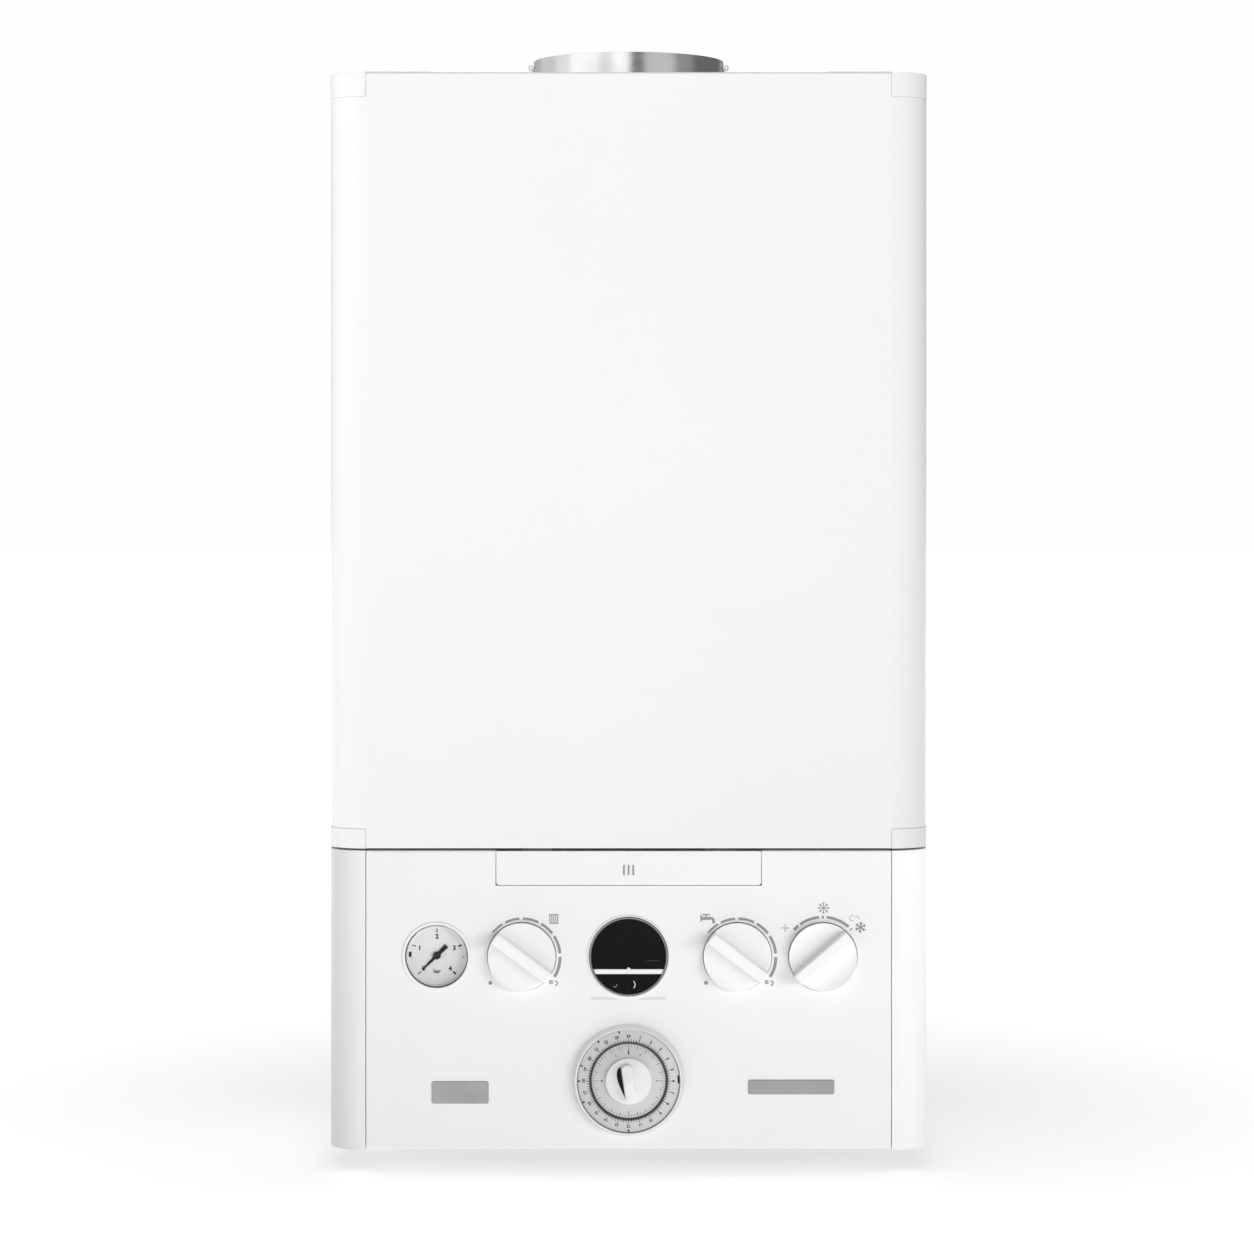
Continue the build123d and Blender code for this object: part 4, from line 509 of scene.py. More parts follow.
@dataclass(frozen=True)
class SilverLacquer(Finish):
    """Aluminium lacquer on plastic: fine flakes in a satin film."""

    colour: Colour
    metallic: float = 0.55
    flake: float = 0.00012
    crown: Optional[Crown] = None

    def paint(self, on: Surface) -> None:
        """Sets up the flakes.

        Args:
            on: The surface.
        """
        flakes = on.noise(self.flake, detail=1.0)
        bright = on.mask(flakes, start=0.35, end=0.65)
        on.shade({
            "Base Color": on.mixed(bright, dimmed(self.colour, 0.86), self.colour),
            "Roughness": on.spread(on.noise(size=0.006, detail=3.0), 0.30, 0.42),
            "Metallic": self.metallic,
        })
        on.relief(flakes, depth=0.000004, edge=0.00015, crown=self.crown)


@dataclass(frozen=True)
class Polished(Finish):
    """Polished glass or hard plastic with a trace of wiping marks.

    Attributes:
        mirror: Strength of the reflection; 0.5 is that of common glass.
    """

    colour: Colour
    metallic: float = 0.0
    gloss_low: float = 0.03
    gloss_high: float = 0.10
    opacity: float = 1.0
    mirror: float = 0.5

    def paint(self, on: Surface) -> None:
        """Sets up the wiping marks.

        Args:
            on: The surface.
        """
        wiped = on.noise(0.004, 4.0, on.stretched((0.35, 1.0, 1.0)))
        on.shade({
            "Base Color": self.colour,
            "Roughness": on.spread(wiped, self.gloss_low, self.gloss_high, start=0.35, end=0.75),
            "Metallic": self.metallic,
            "Alpha": self.opacity,
            "Specular IOR Level": self.mirror,
        })
        on.relief(on.noise(size=0.009, detail=1.0), depth=0.000004)


@dataclass(frozen=True)
class FilledPlastic(Finish):
    """Glass-filled plastic: pale fibre flecks in a dull body."""

    colour: Colour
    fleck: Colour
    length: float = 0.0012

    def paint(self, on: Surface) -> None:
        """Sets up the fibres.

        Args:
            on: The surface.
        """
        fibres = on.noise(self.length, 3.0, on.stretched((1.0, 3.0, 0.6)))
        on.shade({
            "Base Color": on.mixed(on.spread(fibres, 0.0, 0.6, 0.56, 0.72),
                                   self.colour, self.fleck),
            "Roughness": on.spread(fibres, 0.62, 0.42),
        })
        on.relief(fibres, depth=0.00003, edge=0.0004)


@dataclass(frozen=True)
class Perforated(Finish):
    """Heat-tinted burner mesh with its pattern of flame ports.

    Attributes:
        port: Distance from port to port.
    """

    colour: Colour = (0.50, 0.47, 0.44)
    tint: Colour = (0.30, 0.22, 0.24)
    port: float = 0.0030

    def paint(self, on: Surface) -> None:
        """Sets up the tinted steel, and painted shade in the flame ports.

        Args:
            on: The surface.
        """
        web = on.mask(on.cells(self.port), start=0.22, end=0.30)
        steel = on.mixed(on.mask(on.noise(size=0.03), start=0.4, end=0.7), self.colour, self.tint)
        on.shade({
            # Painted shade: the flame ports are painted near black, as the dark inside of holes.
            "Base Color": on.mixed(web, (0.01, 0.01, 0.01), steel),
            "Roughness": on.spread(web, 0.9, 0.38),
            "Metallic": 1.0,
        })
        on.relief(web, depth=0.0003)


@dataclass(frozen=True)
class CircuitBoard(Finish):
    """Solder-masked laminate: copper tracks under green lacquer, and dark parts that stand off it.

    Attributes:
        parts: Colour of the parts.
        board_front: The y of the laminate's front face.
        board_back: The y of the laminate's back face.
        margin: How far from these faces the parts' colour starts.
    """

    mask: Colour = (0.02, 0.16, 0.06)
    track: Colour = (0.05, 0.28, 0.11)
    parts: Colour = (0.03, 0.03, 0.035)
    board_front: float = -0.2400
    board_back: float = -0.2384
    margin: float = 0.0001

    def paint(self, on: Surface) -> None:
        """Sets up the tracks, and the colour of what stands off the laminate.

        Args:
            on: The surface.
        """
        level = on.cells(0.004, "Distance", on.stretched((1.0, 0.0, 0.25)), "DISTANCE_TO_EDGE")
        tracks = on.spread(level, 1.0, 0.0, 0.05, 0.09)
        ahead = on.spread(on.axis("Y"), 1.0, 0.0, self.board_front - self.margin,
                          self.board_front + self.margin)
        behind = on.mask(on.axis("Y"), self.board_back - self.margin, self.board_back + self.margin)
        lacquer = on.mixed(tracks, self.mask, self.track)
        on.shade({
            "Base Color": on.mixed(on.sum(ahead, behind, share=1.0), lacquer, self.parts),
            "Roughness": on.spread(on.noise(size=0.004), 0.25, 0.45),
        })
        on.relief(tracks, depth=0.00003, edge=0.0002)


@dataclass(frozen=True)
class PrintedInk(Finish):
    """Pad-printed ink: nearly flat colour with tiny pinholes.

    Attributes:
        mirror: Strength of its reflection; 0.5 is that of common plastic.
    """

    colour: Colour
    rough: float = 0.5
    mirror: float = 0.12

    def paint(self, on: Surface) -> None:
        """Sets up the pinholes.

        Args:
            on: The surface.
        """
        pores = on.noise(size=0.00025)
        thin = tuple(min(part * 1.2 + 0.002, 1.0) for part in self.colour)
        on.shade({
            "Base Color": on.mixed(on.mask(pores, start=0.45, end=0.75), self.colour, thin),
            "Roughness": on.spread(pores, self.rough - 0.08, self.rough + 0.08),
            "Specular IOR Level": self.mirror,
        })
        on.relief(pores, depth=0.000003)


class Palette:
    """Every finish of the boiler, each made once."""

    SLOTS = {
        Slot.ENAMEL_WHITE: SprayedCoat(SHELL_WHITE),
        Slot.GALVANISED: ZincSheet(),
        Slot.MOULDING_WHITE: Moulded(SHELL_WHITE, 0.34, 0.44),
        Slot.KNOB_WHITE: Moulded((0.87, 0.875, 0.88), 0.26, 0.34, 0.0006, 0.000003, 0.0003),
        Slot.HOUSING_GREY: Moulded((0.30, 0.31, 0.32), 0.42, 0.58, 0.0007, 0.00002),
        Slot.BOARD_GREEN: CircuitBoard(),
        Slot.CONTACT_BLACK: Moulded((0.022, 0.022, 0.024), 0.38, 0.52, 0.0005, 0.00001),
        Slot.DIAL_SILVER: SilverLacquer((0.64, 0.64, 0.64)),
        Slot.TAPPET_DARK: Moulded((0.030, 0.030, 0.032), 0.35, 0.50, 0.0003, 0.000006, 0.0001),
        Slot.DIAL_FACE: SilverLacquer((0.86, 0.86, 0.86), 0.0),
        Slot.DARK_CHROME: Polished((0.20, 0.20, 0.205), 1.0, 0.12, 0.20),
        Slot.GLASS_BLACK: Polished(JET_BLACK, 0.0, 0.05, 0.10, mirror=0.07),
        Slot.KEY_BLACK: Polished(JET_BLACK, 0.0, 0.08, 0.16, mirror=0.07),
        Slot.CLEAR_GLASS: Polished((0.26, 0.27, 0.28), 0.0, 0.02, 0.06, 0.04),
        Slot.NEEDLE_BLACK: PrintedInk((0.004, 0.004, 0.004), 0.6),
        Slot.COLLAR_STEEL: BrushedMetal((0.80, 0.80, 0.80), Grain.ROUND, 0.14, 0.24),
        Slot.SPRING_STEEL: BrushedMetal((0.72, 0.73, 0.74), Grain.UPRIGHT, 0.12, 0.22),
        Slot.DUCT_WHITE: Moulded((0.72, 0.72, 0.69), 0.40, 0.55),
        Slot.CAST_ALUMINIUM: CastMetal((0.60, 0.61, 0.62), (0.30, 0.31, 0.32)),
        Slot.BURNER_STEEL: Perforated(),
        Slot.ZINC_PLATED: BrushedMetal((0.66, 0.68, 0.72), Grain.LEVEL, 0.18, 0.34,
                                       tint=(0.70, 0.66, 0.50)),
        Slot.CERAMIC_WHITE: Moulded((0.78, 0.75, 0.68), 0.45, 0.65, 0.0008, 0.00002, 0.0002, 0.1),
        Slot.MOTOR_BLACK: Moulded((0.018, 0.018, 0.02), 0.36, 0.52, 0.0008, 0.00002),
        Slot.WHEEL_GREY: FilledPlastic((0.06, 0.06, 0.065), (0.22, 0.22, 0.22)),
        Slot.COMPOSITE_DARK: FilledPlastic((0.022, 0.025, 0.028), (0.12, 0.12, 0.12)),
        Slot.PUMP_IRON: CastMetal((0.05, 0.055, 0.06), (0.015, 0.016, 0.018), 0.0, 0.0016, 0.00012),
        Slot.ROTOR_STEEL: BrushedMetal((0.55, 0.56, 0.57), Grain.UPRIGHT, 0.20, 0.34),
        Slot.BRASS_PLAIN: DrawnTube((0.72, 0.55, 0.24), (0.40, 0.27, 0.10), 0.4),
        Slot.COPPER_PLAIN: DrawnTube((0.80, 0.38, 0.22), (0.34, 0.13, 0.07), 0.6),
        Slot.VESSEL_RED: SprayedCoat((0.40, 0.02, 0.015), 0.22, 0.34, 0.0024, 0.00002),
        Slot.PLATE_STEEL: BrushedMetal((0.58, 0.58, 0.58), Grain.UPRIGHT, 0.22, 0.36,
                                       tint=(0.62, 0.44, 0.32)),
        Slot.TRAP_GREY: Moulded((0.36, 0.37, 0.38), 0.40, 0.55, 0.0006, 0.00001, 0.0004, 0.1),
    }

    def __init__(self) -> None:
        """Starts with nothing made."""
        self._made: dict[str, bpy.types.Material] = {}

    def of(self, slot: Slot) -> bpy.types.Material:
        """The material of one slot."""
        return self.made(slot.value, self.SLOTS[slot])

    def made(self, name: str, finish: Finish) -> bpy.types.Material:
        """A material by name, made on its first use.

        Args:
            name: The material's name.
            finish: The finish that builds it.

        Returns:
            The material.
        """
        if name not in self._made:
            self._made[name] = finish.build(name)
        return self._made[name]


def centre_of(node: str) -> Point:
    """The (x, z) middle of a CAD node's box."""
    low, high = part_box(node)
    return (low.x + high.x) / 2, (low.z + high.z) / 2


def front_of(node: str) -> float:
    """The y of a CAD node's foremost point."""
    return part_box(node)[0].y


def outer_radius(node: str) -> float:
    """Half the width of a round CAD node."""
    low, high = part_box(node)
    return (high.x - low.x) / 2


def polar(radius: float, angle: float, centre: Point = ORIGIN) -> Point:
    """The point at a radius and an angle from a centre."""
    return centre[0] + radius * cos(radians(angle)), centre[1] + radius * sin(radians(angle))


def turned(points: Iterable[Point], angle: float, centre: Point = ORIGIN) -> list[Point]:
    """Turns points about the origin, then moves the origin.

    Args:
        points: The points.
        angle: How far they turn.
        centre: Where the origin goes.

    Returns:
        The points in their new places.
    """
    c = cos(radians(angle))
    s = sin(radians(angle))
    return [(centre[0] + x * c - z * s, centre[1] + x * s + z * c) for x, z in points]


def place_piece(name: str, mesh: bmesh.types.BMesh, body: str, material: bpy.types.Material) -> None:
    """Turns a finished mesh into a piece of the object.

    Args:
        name: The piece's name.
        mesh: Its geometry, which is used up.
        body: The CAD body that it rides on.
        material: Its material.
    """
    bmesh.ops.recalc_face_normals(mesh, faces=mesh.faces)
    data = bpy.data.meshes.new(name)
    mesh.to_mesh(data)
    mesh.free()
    piece = bpy.data.objects.new(name, data)
    bpy.context.scene.collection.objects.link(piece)
    data.materials.append(material)
    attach(piece, body)
    LOG.info("piece %s rides on %s, %d faces", name, body, len(data.polygons))


class PrintLayer:
    """Thin marks in one plane that faces the front, built as one mesh.

    Places are measured from the layer's own centre, x to the right and z up. Marks that cross
    differ by a hair in height, so that no two faces share a plane.
    """

    STEP = 3.0
    HAIR = 0.0000015
    HAIRS = 6

    def __init__(self, name: str, centre: Point, face: float,
                 lift: float = 0.00005, sink: float = 0.00008) -> None:
        """Starts an empty layer.

        Args:
            name: Name of the piece.
            centre: The (x, z) point that places are measured from.
            face: The y of the surface under the marks.
            lift: How far the marks stand proud.
            sink: How far they reach into the surface.
        """
        self.name = name
        self.centre = centre
        self.front = face - lift
        self.back = face + sink
        self.marks = 0
        self.mesh = bmesh.new()

    def polygon(self, points: Iterable[Point]) -> None:
        """Adds a flat mark.

        Args:
            points: Its outline, counter-clockwise, from the layer's centre.
        """
        ring = [(self.centre[0] + x, self.centre[1] + z) for x, z in points]
        face = self.front - self.HAIR * (self.marks % self.HAIRS)
        self.marks += 1
        front = [self.mesh.verts.new((x, face, z)) for x, z in ring]
        back = [self.mesh.verts.new((x, self.back, z)) for x, z in ring]
        self.mesh.faces.new(front)
        self.mesh.faces.new(reversed(back))
        for index in range(len(ring)):
            after = (index + 1) % len(ring)
            self.mesh.faces.new((front[after], front[index], back[index], back[after]))

    def arc(self, inner: float, thick_start: float, start: float, end: float,
            thick_end: Optional[float] = None, centre: Point = ORIGIN) -> None:
        """Adds a round stretch of even or growing thickness.

        Args:
            inner: Inner radius.
            thick_start: Thickness at the start.
            start: Start angle.
            end: End angle.
            thick_end: Thickness at the end, where it differs.
            centre: The arc's own centre, from the layer's.
        """
        last = thick_start if thick_end is None else thick_end
        steps = max(2, ceil(abs(end - start) / self.STEP))
        inside = []
        outside = []
        for step in range(steps + 1):
            share = step / steps
            angle = start + (end - start) * share
            inside.append(polar(inner, angle, centre))
            outside.append(polar(inner + thick_start + (last - thick_start) * share, angle, centre))
        self.polygon(outside + inside[::-1] if end > start else inside + outside[::-1])

    def ring(self, inner: float, outer: float) -> None:
        """Adds a full ring between two radii."""
        self.arc(inner, outer - inner, 0.0, 180.0)
        self.arc(inner, outer - inner, 180.0, 360.0)

    def bar(self, middle: Point, length: float, width: float, turn: float = 0.0,
            centre: Point = ORIGIN) -> None:
        """Adds a straight bar that is turned about a centre.

        Args:
            middle: Its middle before the turn, from that centre.
            length: Its length along x before the turn.
            width: Its width along z before the turn.
            turn: The turn.
            centre: What it turns about, from the layer's own centre.
        """
        sides = ((-1, -1), (1, -1), (1, 1), (-1, 1))
        corners = [(middle[0] + x * length / 2, middle[1] + z * width / 2) for x, z in sides]
        self.polygon(turned(corners, turn, centre))

    def tick(self, angle: float, inner: float, outer: float, width: float,
             centre: Point = ORIGIN) -> None:
        """Adds a radial bar from one radius to another."""
        self.bar(((inner + outer) / 2, 0.0), outer - inner, width, angle, centre)

    def star(self, middle: Point, rays: int, inner: float, outer: float, width: float) -> None:
        """Adds even rays about a point, the first one upright."""
        for index in range(rays):
            self.tick(90.0 + 360.0 / rays * index, inner, outer, width, middle)

    def dot(self, middle: Point, radius: float, sides: int = 20) -> None:
        """Adds a round dot with a number of sides."""
        self.polygon(polar(radius, 360.0 * side / sides, middle) for side in range(sides))

    def beads(self, middle: Point, count: int, start: float, reach: float,
              radius: float = 0.0007) -> None:
        """Adds small dots at a distance round a point, the first at the start angle."""
        for index in range(count):
            self.dot(polar(reach, start + 360.0 / count * index, middle), radius, 8)

    def words(self, text: str, middle: Point, size: float, turn: float = 0.0,
              weight: float = 0.0) -> None:
        """Adds numerals or a unit.

        Args:
            text: What is printed.
            middle: Its middle.
            size: Nominal height of the type.
            turn: Its turn about its own middle.
            weight: How far the strokes are thickened on each side.
        """
        curve = bpy.data.curves.new(self.name + "_type", "FONT")
        curve.body = text
        curve.size = size
        curve.offset = weight
        curve.align_x = "CENTER"
        curve.align_y = "CENTER"
        curve.resolution_u = 3
        curve.extrude = (self.back - self.front) / 2
        holder = bpy.data.objects.new(self.name + "_type", curve)
        bpy.context.scene.collection.objects.link(holder)
        bpy.context.view_layer.update()
        flat = bpy.data.meshes.new_from_object(holder)
        place = Matrix.Translation((
            self.centre[0] + middle[0], (self.front + self.back) / 2, self.centre[1] + middle[1],
        ))
        flat.transform(place @ Matrix.Rotation(radians(-turn), 4, "Y")
                       @ Matrix.Rotation(pi / 2, 4, "X"))
        self.mesh.from_mesh(flat)
        bpy.data.objects.remove(holder)
        bpy.data.meshes.remove(flat)


def layer_on(node: str, name: str, lift: float = 0.00005) -> PrintLayer:
    """An empty layer on the foremost plane of a CAD node, measured from its middle."""
    return PrintLayer(name, centre_of(node), front_of(node), lift)


@dataclass
class SubAssembly:
    """A group of CAD nodes that are dressed together, and the pieces added to them.

    Attributes:
        palette: The finishes to dress with.
        COATS: The nodes that wear the finish of each slot.
    """

    palette: Palette
    COATS: ClassVar[dict[Slot, tuple[str, ...]]] = {}

    def build(self) -> None:
        """Dresses the nodes and adds the pieces."""
        for slot, nodes in self.COATS.items():
            self.wear(self.palette.of(slot), *nodes)
        self.trim()

    def trim(self) -> None:
        """Adds prints and small pieces, where a sub-assembly has any."""

    def wear(self, material: bpy.types.Material, *nodes: str) -> None:
        """Gives CAD nodes a material.

        Args:
            material: The material.
            nodes: The nodes.
        """
        for node in nodes:
            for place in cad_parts[node].material_slots:
                place.material = material
            LOG.info("node %s wears %s", node, material.name)

    def lay(self, layer: PrintLayer, finish: Ink | Slot, body: str = "control_panel") -> None:
        """Turns a layer into a piece that rides on a body.

        Args:
            layer: The layer.
            finish: Its ink, or the slot whose finish it shares.
            body: The CAD body that carries it.
        """
        if isinstance(finish, Ink):
            name, colour, slot = finish.value
            material = self.palette.made(name, PrintedInk(colour))
        else:
            slot = finish
            material = self.palette.of(slot)
        place_piece(layer.name, layer.mesh, body, material)


@dataclass
class Casing(SubAssembly):
    """Painted wrapper and front panel with their moulded trim, and the plates behind them."""

    COATS = {
        Slot.ENAMEL_WHITE: ("case_wrapper", "front_panel"),
        Slot.MOULDING_WHITE: ("corner_caps", "fascia_ends"),
        Slot.GALVANISED: ("back_panel", "bottom_panel", "crossbar", "wall_bracket"),
        Slot.ZINC_PLATED: ("panel_screws",),
    }


@dataclass
class FlueOutlet(SubAssembly):
    """The flue collar with its clips and the duct inside."""

    COATS = {
        Slot.COLLAR_STEEL: ("flue_collar",),
        Slot.SPRING_STEEL: ("collar_clips",),
        Slot.DUCT_WHITE: ("flue_duct",),
    }


@dataclass
class Combustion(SubAssembly):
    """The heat cell, its burner and the fan, and the gas train that feeds them."""

    COATS = {
        Slot.CAST_ALUMINIUM: (
            "heat_exchanger", "burner_door", "fan_housing", "venturi", "gas_valve",
        ),
        Slot.GALVANISED: ("exchanger_brackets",),
        Slot.ZINC_PLATED: ("door_nuts",),
        Slot.BURNER_STEEL: ("burner",),
        Slot.CERAMIC_WHITE: ("electrodes",),
        Slot.MOTOR_BLACK: ("fan_motor",),
        Slot.WHEEL_GREY: ("fan_wheel",),
        Slot.COPPER_PLAIN: ("gas_pipes",),
    }


@dataclass
class WaterSide(SubAssembly):
    """The water blocks, pump, exchanger, vessel, pipes and tails."""

    COATS = {
        Slot.VESSEL_RED: ("expansion_vessel",),
        Slot.COMPOSITE_DARK: ("flow_block", "return_block"),
        Slot.MOTOR_BLACK: ("diverter_motor",),
        Slot.BRASS_PLAIN: ("diverter_spindle", "safety_valve"),
        Slot.PLATE_STEEL: ("plate_exchanger",),
        Slot.PUMP_IRON: ("pump_body",),
        Slot.ROTOR_STEEL: ("pump_rotor",),
        Slot.COPPER_PLAIN: ("water_pipes", "connection_tails"),
        Slot.TRAP_GREY: ("condensate_trap",),
    }


@dataclass
class ControlFascia(SubAssembly):
    """The hinged fascia with its housing and boards, the access flap and two blank plates.

    Attributes:
        grip_drop: From the flap's top edge to the middle of the bars.
        plate_left: Middle of the left blank plate, from the fascia's middle column and lower edge.
        plate_sink: How far a plate reaches into the fascia.
    """

    COATS = {
        Slot.MOULDING_WHITE: ("fascia", "flap"),
        Slot.HOUSING_GREY: ("control_housing", "housing_cover"),
        Slot.BOARD_GREEN: ("control_board",),
        Slot.CONTACT_BLACK: ("rotary_switches",),
    }

    grip_pitch: float = 0.0030
    grip_height: float = 0.0066
    grip_width: float = 0.0011
    grip_drop: float = 0.0123
    grip_lift: float = 0.0002
    plate_left: Point = (-0.1093, 0.0365)
    plate_right: Point = (0.1054, 0.0400)
    left_size: Point = (0.0370, 0.0145)
    right_size: Point = (0.0560, 0.0095)
    plate_thick: float = 0.0006
    plate_corner: float = 0.0015
    plate_sink: float = 0.0001
    corner_steps: int = 6

    def trim(self) -> None:
        """Adds the grip bars and the blank plates."""
        self.grip_bars()
        self.blank_plate("blank_plate_left", self.plate_left, self.left_size)
        self.blank_plate("blank_plate_right", self.plate_right, self.right_size)

    def grip_bars(self) -> None:
        """Three upright bars in the middle of the flap."""
        middle = (0.0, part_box("flap")[1].z - self.grip_drop)
        layer = PrintLayer("flap_bars", middle, front_of("fascia_ends"), self.grip_lift)
        for place in (-self.grip_pitch, 0.0, self.grip_pitch):
            layer.bar((place, 0.0), self.grip_width, self.grip_height)
        self.lay(layer, Ink.GRIP, "flap")

    def blank_plate(self, name: str, middle: Point, size: Point) -> None:
        """A bare plate with rounded corners and a chamfered edge.

        Args:
            name: The piece's name.
            middle: Its middle, from the fascia's middle column and lower edge.
            size: Its width and height.
        """
        face = front_of("fascia_ends")
        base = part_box("fascia")[0].z + middle[1]
        across = size[0] / 2 - self.plate_corner
        up = size[1] / 2 - self.plate_corner
        pivots = ((across, up), (-across, up), (-across, -up), (across, -up))
        chamfer = self.plate_thick / 2
        levels = (
            (face + self.plate_sink, 0.0),
            (face - self.plate_thick + chamfer, 0.0),
            (face - self.plate_thick, chamfer),
        )
        mesh = bmesh.new()
        rings = []
        for depth, inset in levels:
            ring = []
            for corner, (x, z) in enumerate(pivots):
                for step in range(self.corner_steps + 1):
                    angle = 90.0 * (corner + step / self.corner_steps)
                    spot = polar(self.plate_corner - inset, angle, (middle[0] + x, base + z))
                    ring.append(mesh.verts.new((spot[0], depth, spot[1])))
            rings.append(ring)
        for lower, upper in zip(rings, rings[1:]):
            for index in range(len(lower)):
                after = (index + 1) % len(lower)
                mesh.faces.new((lower[index], lower[after], upper[after], upper[index]))
        mesh.faces.new(rings[-1])
        mesh.faces.new(reversed(rings[0]))
        metal = self.palette.made("plate_satin",
                                  BrushedMetal((0.40, 0.40, 0.40), Grain.LEVEL, 0.34, 0.46))
        place_piece(name, mesh, "control_panel", metal)


@dataclass
class PressureGauge(SubAssembly):
    """The pressure gauge: a printed dial behind a window, and its needle.

    Attributes:
        bar_angle: Degrees from one bar to the next.
        limits: The marks of the lower and upper limit.
        minor_parts: Parts that minor ticks split one bar into.
        half_longer: How much further in the minor tick halfway reaches.
        unit_drop: From the centre down to the unit.
    """

    COATS = {
        Slot.CONTACT_BLACK: ("gauge_case",),
        Slot.DIAL_FACE: ("gauge_dial",),
        Slot.CLEAR_GLASS: ("gauge_glass",),
        Slot.NEEDLE_BLACK: ("gauge_needle",),
    }

    zero_angle: float = 225.0
    bar_angle: float = 67.5
    full_scale: int = 4
    tick_inner: float = 0.0149
    tick_outer: float = 0.0174
    tick_width: float = 0.0007
    bold_width: float = 0.0011
    limits: tuple[Tick, ...] = (
        Tick(178.0, 0.0166, 0.0184, 0.0034), Tick(-4.0, 0.0166, 0.0179, 0.0007),
    )
    minor_parts: int = 10
    minor_inner: float = 0.0162
    half_longer: float = 0.0006
    minor_width: float = 0.00016
    figure_radius: float = 0.0122
    figure_size: float = 0.0040
    unit_drop: float = 0.0104
    unit_size: float = 0.0036
    liner_thick: float = 0.0007

    def trim(self) -> None:
        """Prints the dial and adds the liner."""
        self.scale()
        self.minor_scale()
        self.liner()

    def scale(self) -> None:
        """Main ticks, limit marks, figures and unit in black."""
        layer = layer_on("gauge_dial", "gauge_scale")
        for figure in range(self.full_scale + 1):
            angle = self.zero_angle - figure * self.bar_angle
            width = self.bold_width if figure >= self.full_scale - 1 else self.tick_width
            layer.tick(angle, self.tick_inner, self.tick_outer, width)
            layer.words(str(figure), polar(self.figure_radius, angle), self.figure_size,
                        weight=0.00020)
        layer.words("bar", (0.0, -self.unit_drop), self.unit_size, weight=0.00010)
        for limit in self.limits:
            layer.tick(*limit)
        self.lay(layer, Ink.DIAL_BLACK)

    def minor_scale(self) -> None:
        """Faint ticks between the figures."""
        layer = layer_on("gauge_dial", "gauge_minor_scale")
        for index in range(self.full_scale * self.minor_parts + 1):
            if index % self.minor_parts:
                angle = self.zero_angle - index * self.bar_angle / self.minor_parts
                longer = 0.0 if index % (self.minor_parts // 2) else self.half_longer
                layer.tick(angle, self.minor_inner - longer, self.tick_outer, self.minor_width)
        self.lay(layer, Ink.DIAL_GREY)

    def liner(self) -> None:
        """A pale liner between the dial and the window."""
        face = front_of("gauge_dial")
        outer = outer_radius("gauge_glass")
        layer = PrintLayer("gauge_liner", centre_of("gauge_dial"), face,
                           lift=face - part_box("gauge_glass")[1].y, sink=0.0)
        layer.ring(outer - self.liner_thick, outer)
        self.lay(layer, Slot.MOULDING_WHITE)


@dataclass
class TemperatureScale(SubAssembly):
    """A temperature knob with its broken arc that grows thicker, and its pictograms.

    Attributes:
        kind: What the knob sets; the names of the knob and its print hold it.
        thin: The arc's thickness at the cold end.
        thick: The arc's thickness at the hot end.
        breaks: Angles of the middles of the arc's gaps.
        mark_angle: Angle of the economy mark.
    """

    kind: str = "heating"
    arc_inner: float = 0.0239
    thin: float = 0.0011
    thick: float = 0.0021
    start: float = 140.7
    end: float = -32.2
    breaks: tuple[float, ...] = (118.5, 91.0, 61.8, 34.6, 1.9)
    gap: float = 5.2
    off_angle: float = 220.0
    off_radius: float = 0.0266
    dot_radius: float = 0.0013
    mark_angle: float = -39.5

    def trim(self) -> None:
        """Dresses the knob and prints its scale."""
        knob = "knob_" + self.kind
        self.wear(self.palette.of(Slot.KNOB_WHITE), knob)
        layer = PrintLayer(self.kind + "_scale", centre_of(knob), front_of("fascia_ends"))
        edges = [self.start]
        for middle in self.breaks:
            edges += [middle + self.gap / 2, middle - self.gap / 2]
        edges.append(self.end)
        for first, last in zip(edges[0::2], edges[1::2]):
            layer.arc(self.arc_inner, self.thickness(first), first, last, self.thickness(last))
        layer.dot(polar(self.off_radius, self.off_angle), self.dot_radius)
        self.economy_mark(layer)
        self.pictogram(layer)
        self.lay(layer, Ink.SCALE)

    def thickness(self, angle: float) -> float:
        """The arc's thickness at an angle."""
        return self.thin + (self.thick - self.thin) * (self.start - angle) / (self.start - self.end)

    def economy_mark(self, layer: PrintLayer) -> None:
        """Draws a small e and a comfort arc beside it.

        Args:
            layer: The layer to draw on.
        """
        x, z = polar(self.off_radius, self.mark_angle)
        letter = (x - 0.0015, z + 0.0003)
        layer.arc(0.0006, 0.0008, 20.0, 340.0, centre=letter)
        layer.bar(letter, 0.0020, 0.0005)
        layer.arc(0.0008, 0.0009, -110.0, 110.0, centre=(x + 0.0014, z - 0.0004))

    def pictogram(self, layer: PrintLayer) -> None:
        """Draws what the knob is for; each kind of knob has its own."""


@dataclass
class HeatingScale(TemperatureScale):
    """The scale of the heating knob, with a radiator.

    Attributes:
        sign: Middle of the radiator, from the knob's centre.
        rail_place: Share of the height from the middle to each cross rail.
    """

    sign: Point = (0.0208, 0.0243)
    columns: int = 5
    pitch: float = 0.00128
    column_width: float = 0.0007
    height: float = 0.0064
    rail_place: float = 0.44
    rail_width: float = 0.0006

    def pictogram(self, layer: PrintLayer) -> None:
        """Draws a radiator.

        Args:
            layer: The layer to draw on.
        """
        x, z = self.sign
        for column in range(self.columns):
            place = x + (column - (self.columns - 1) / 2) * self.pitch
            layer.bar((place, z), self.column_width, self.height)
        for side in (-1, 1):
            middle = (x, z + side * self.height * self.rail_place)
            layer.bar(middle, self.pitch * self.columns, self.rail_width)


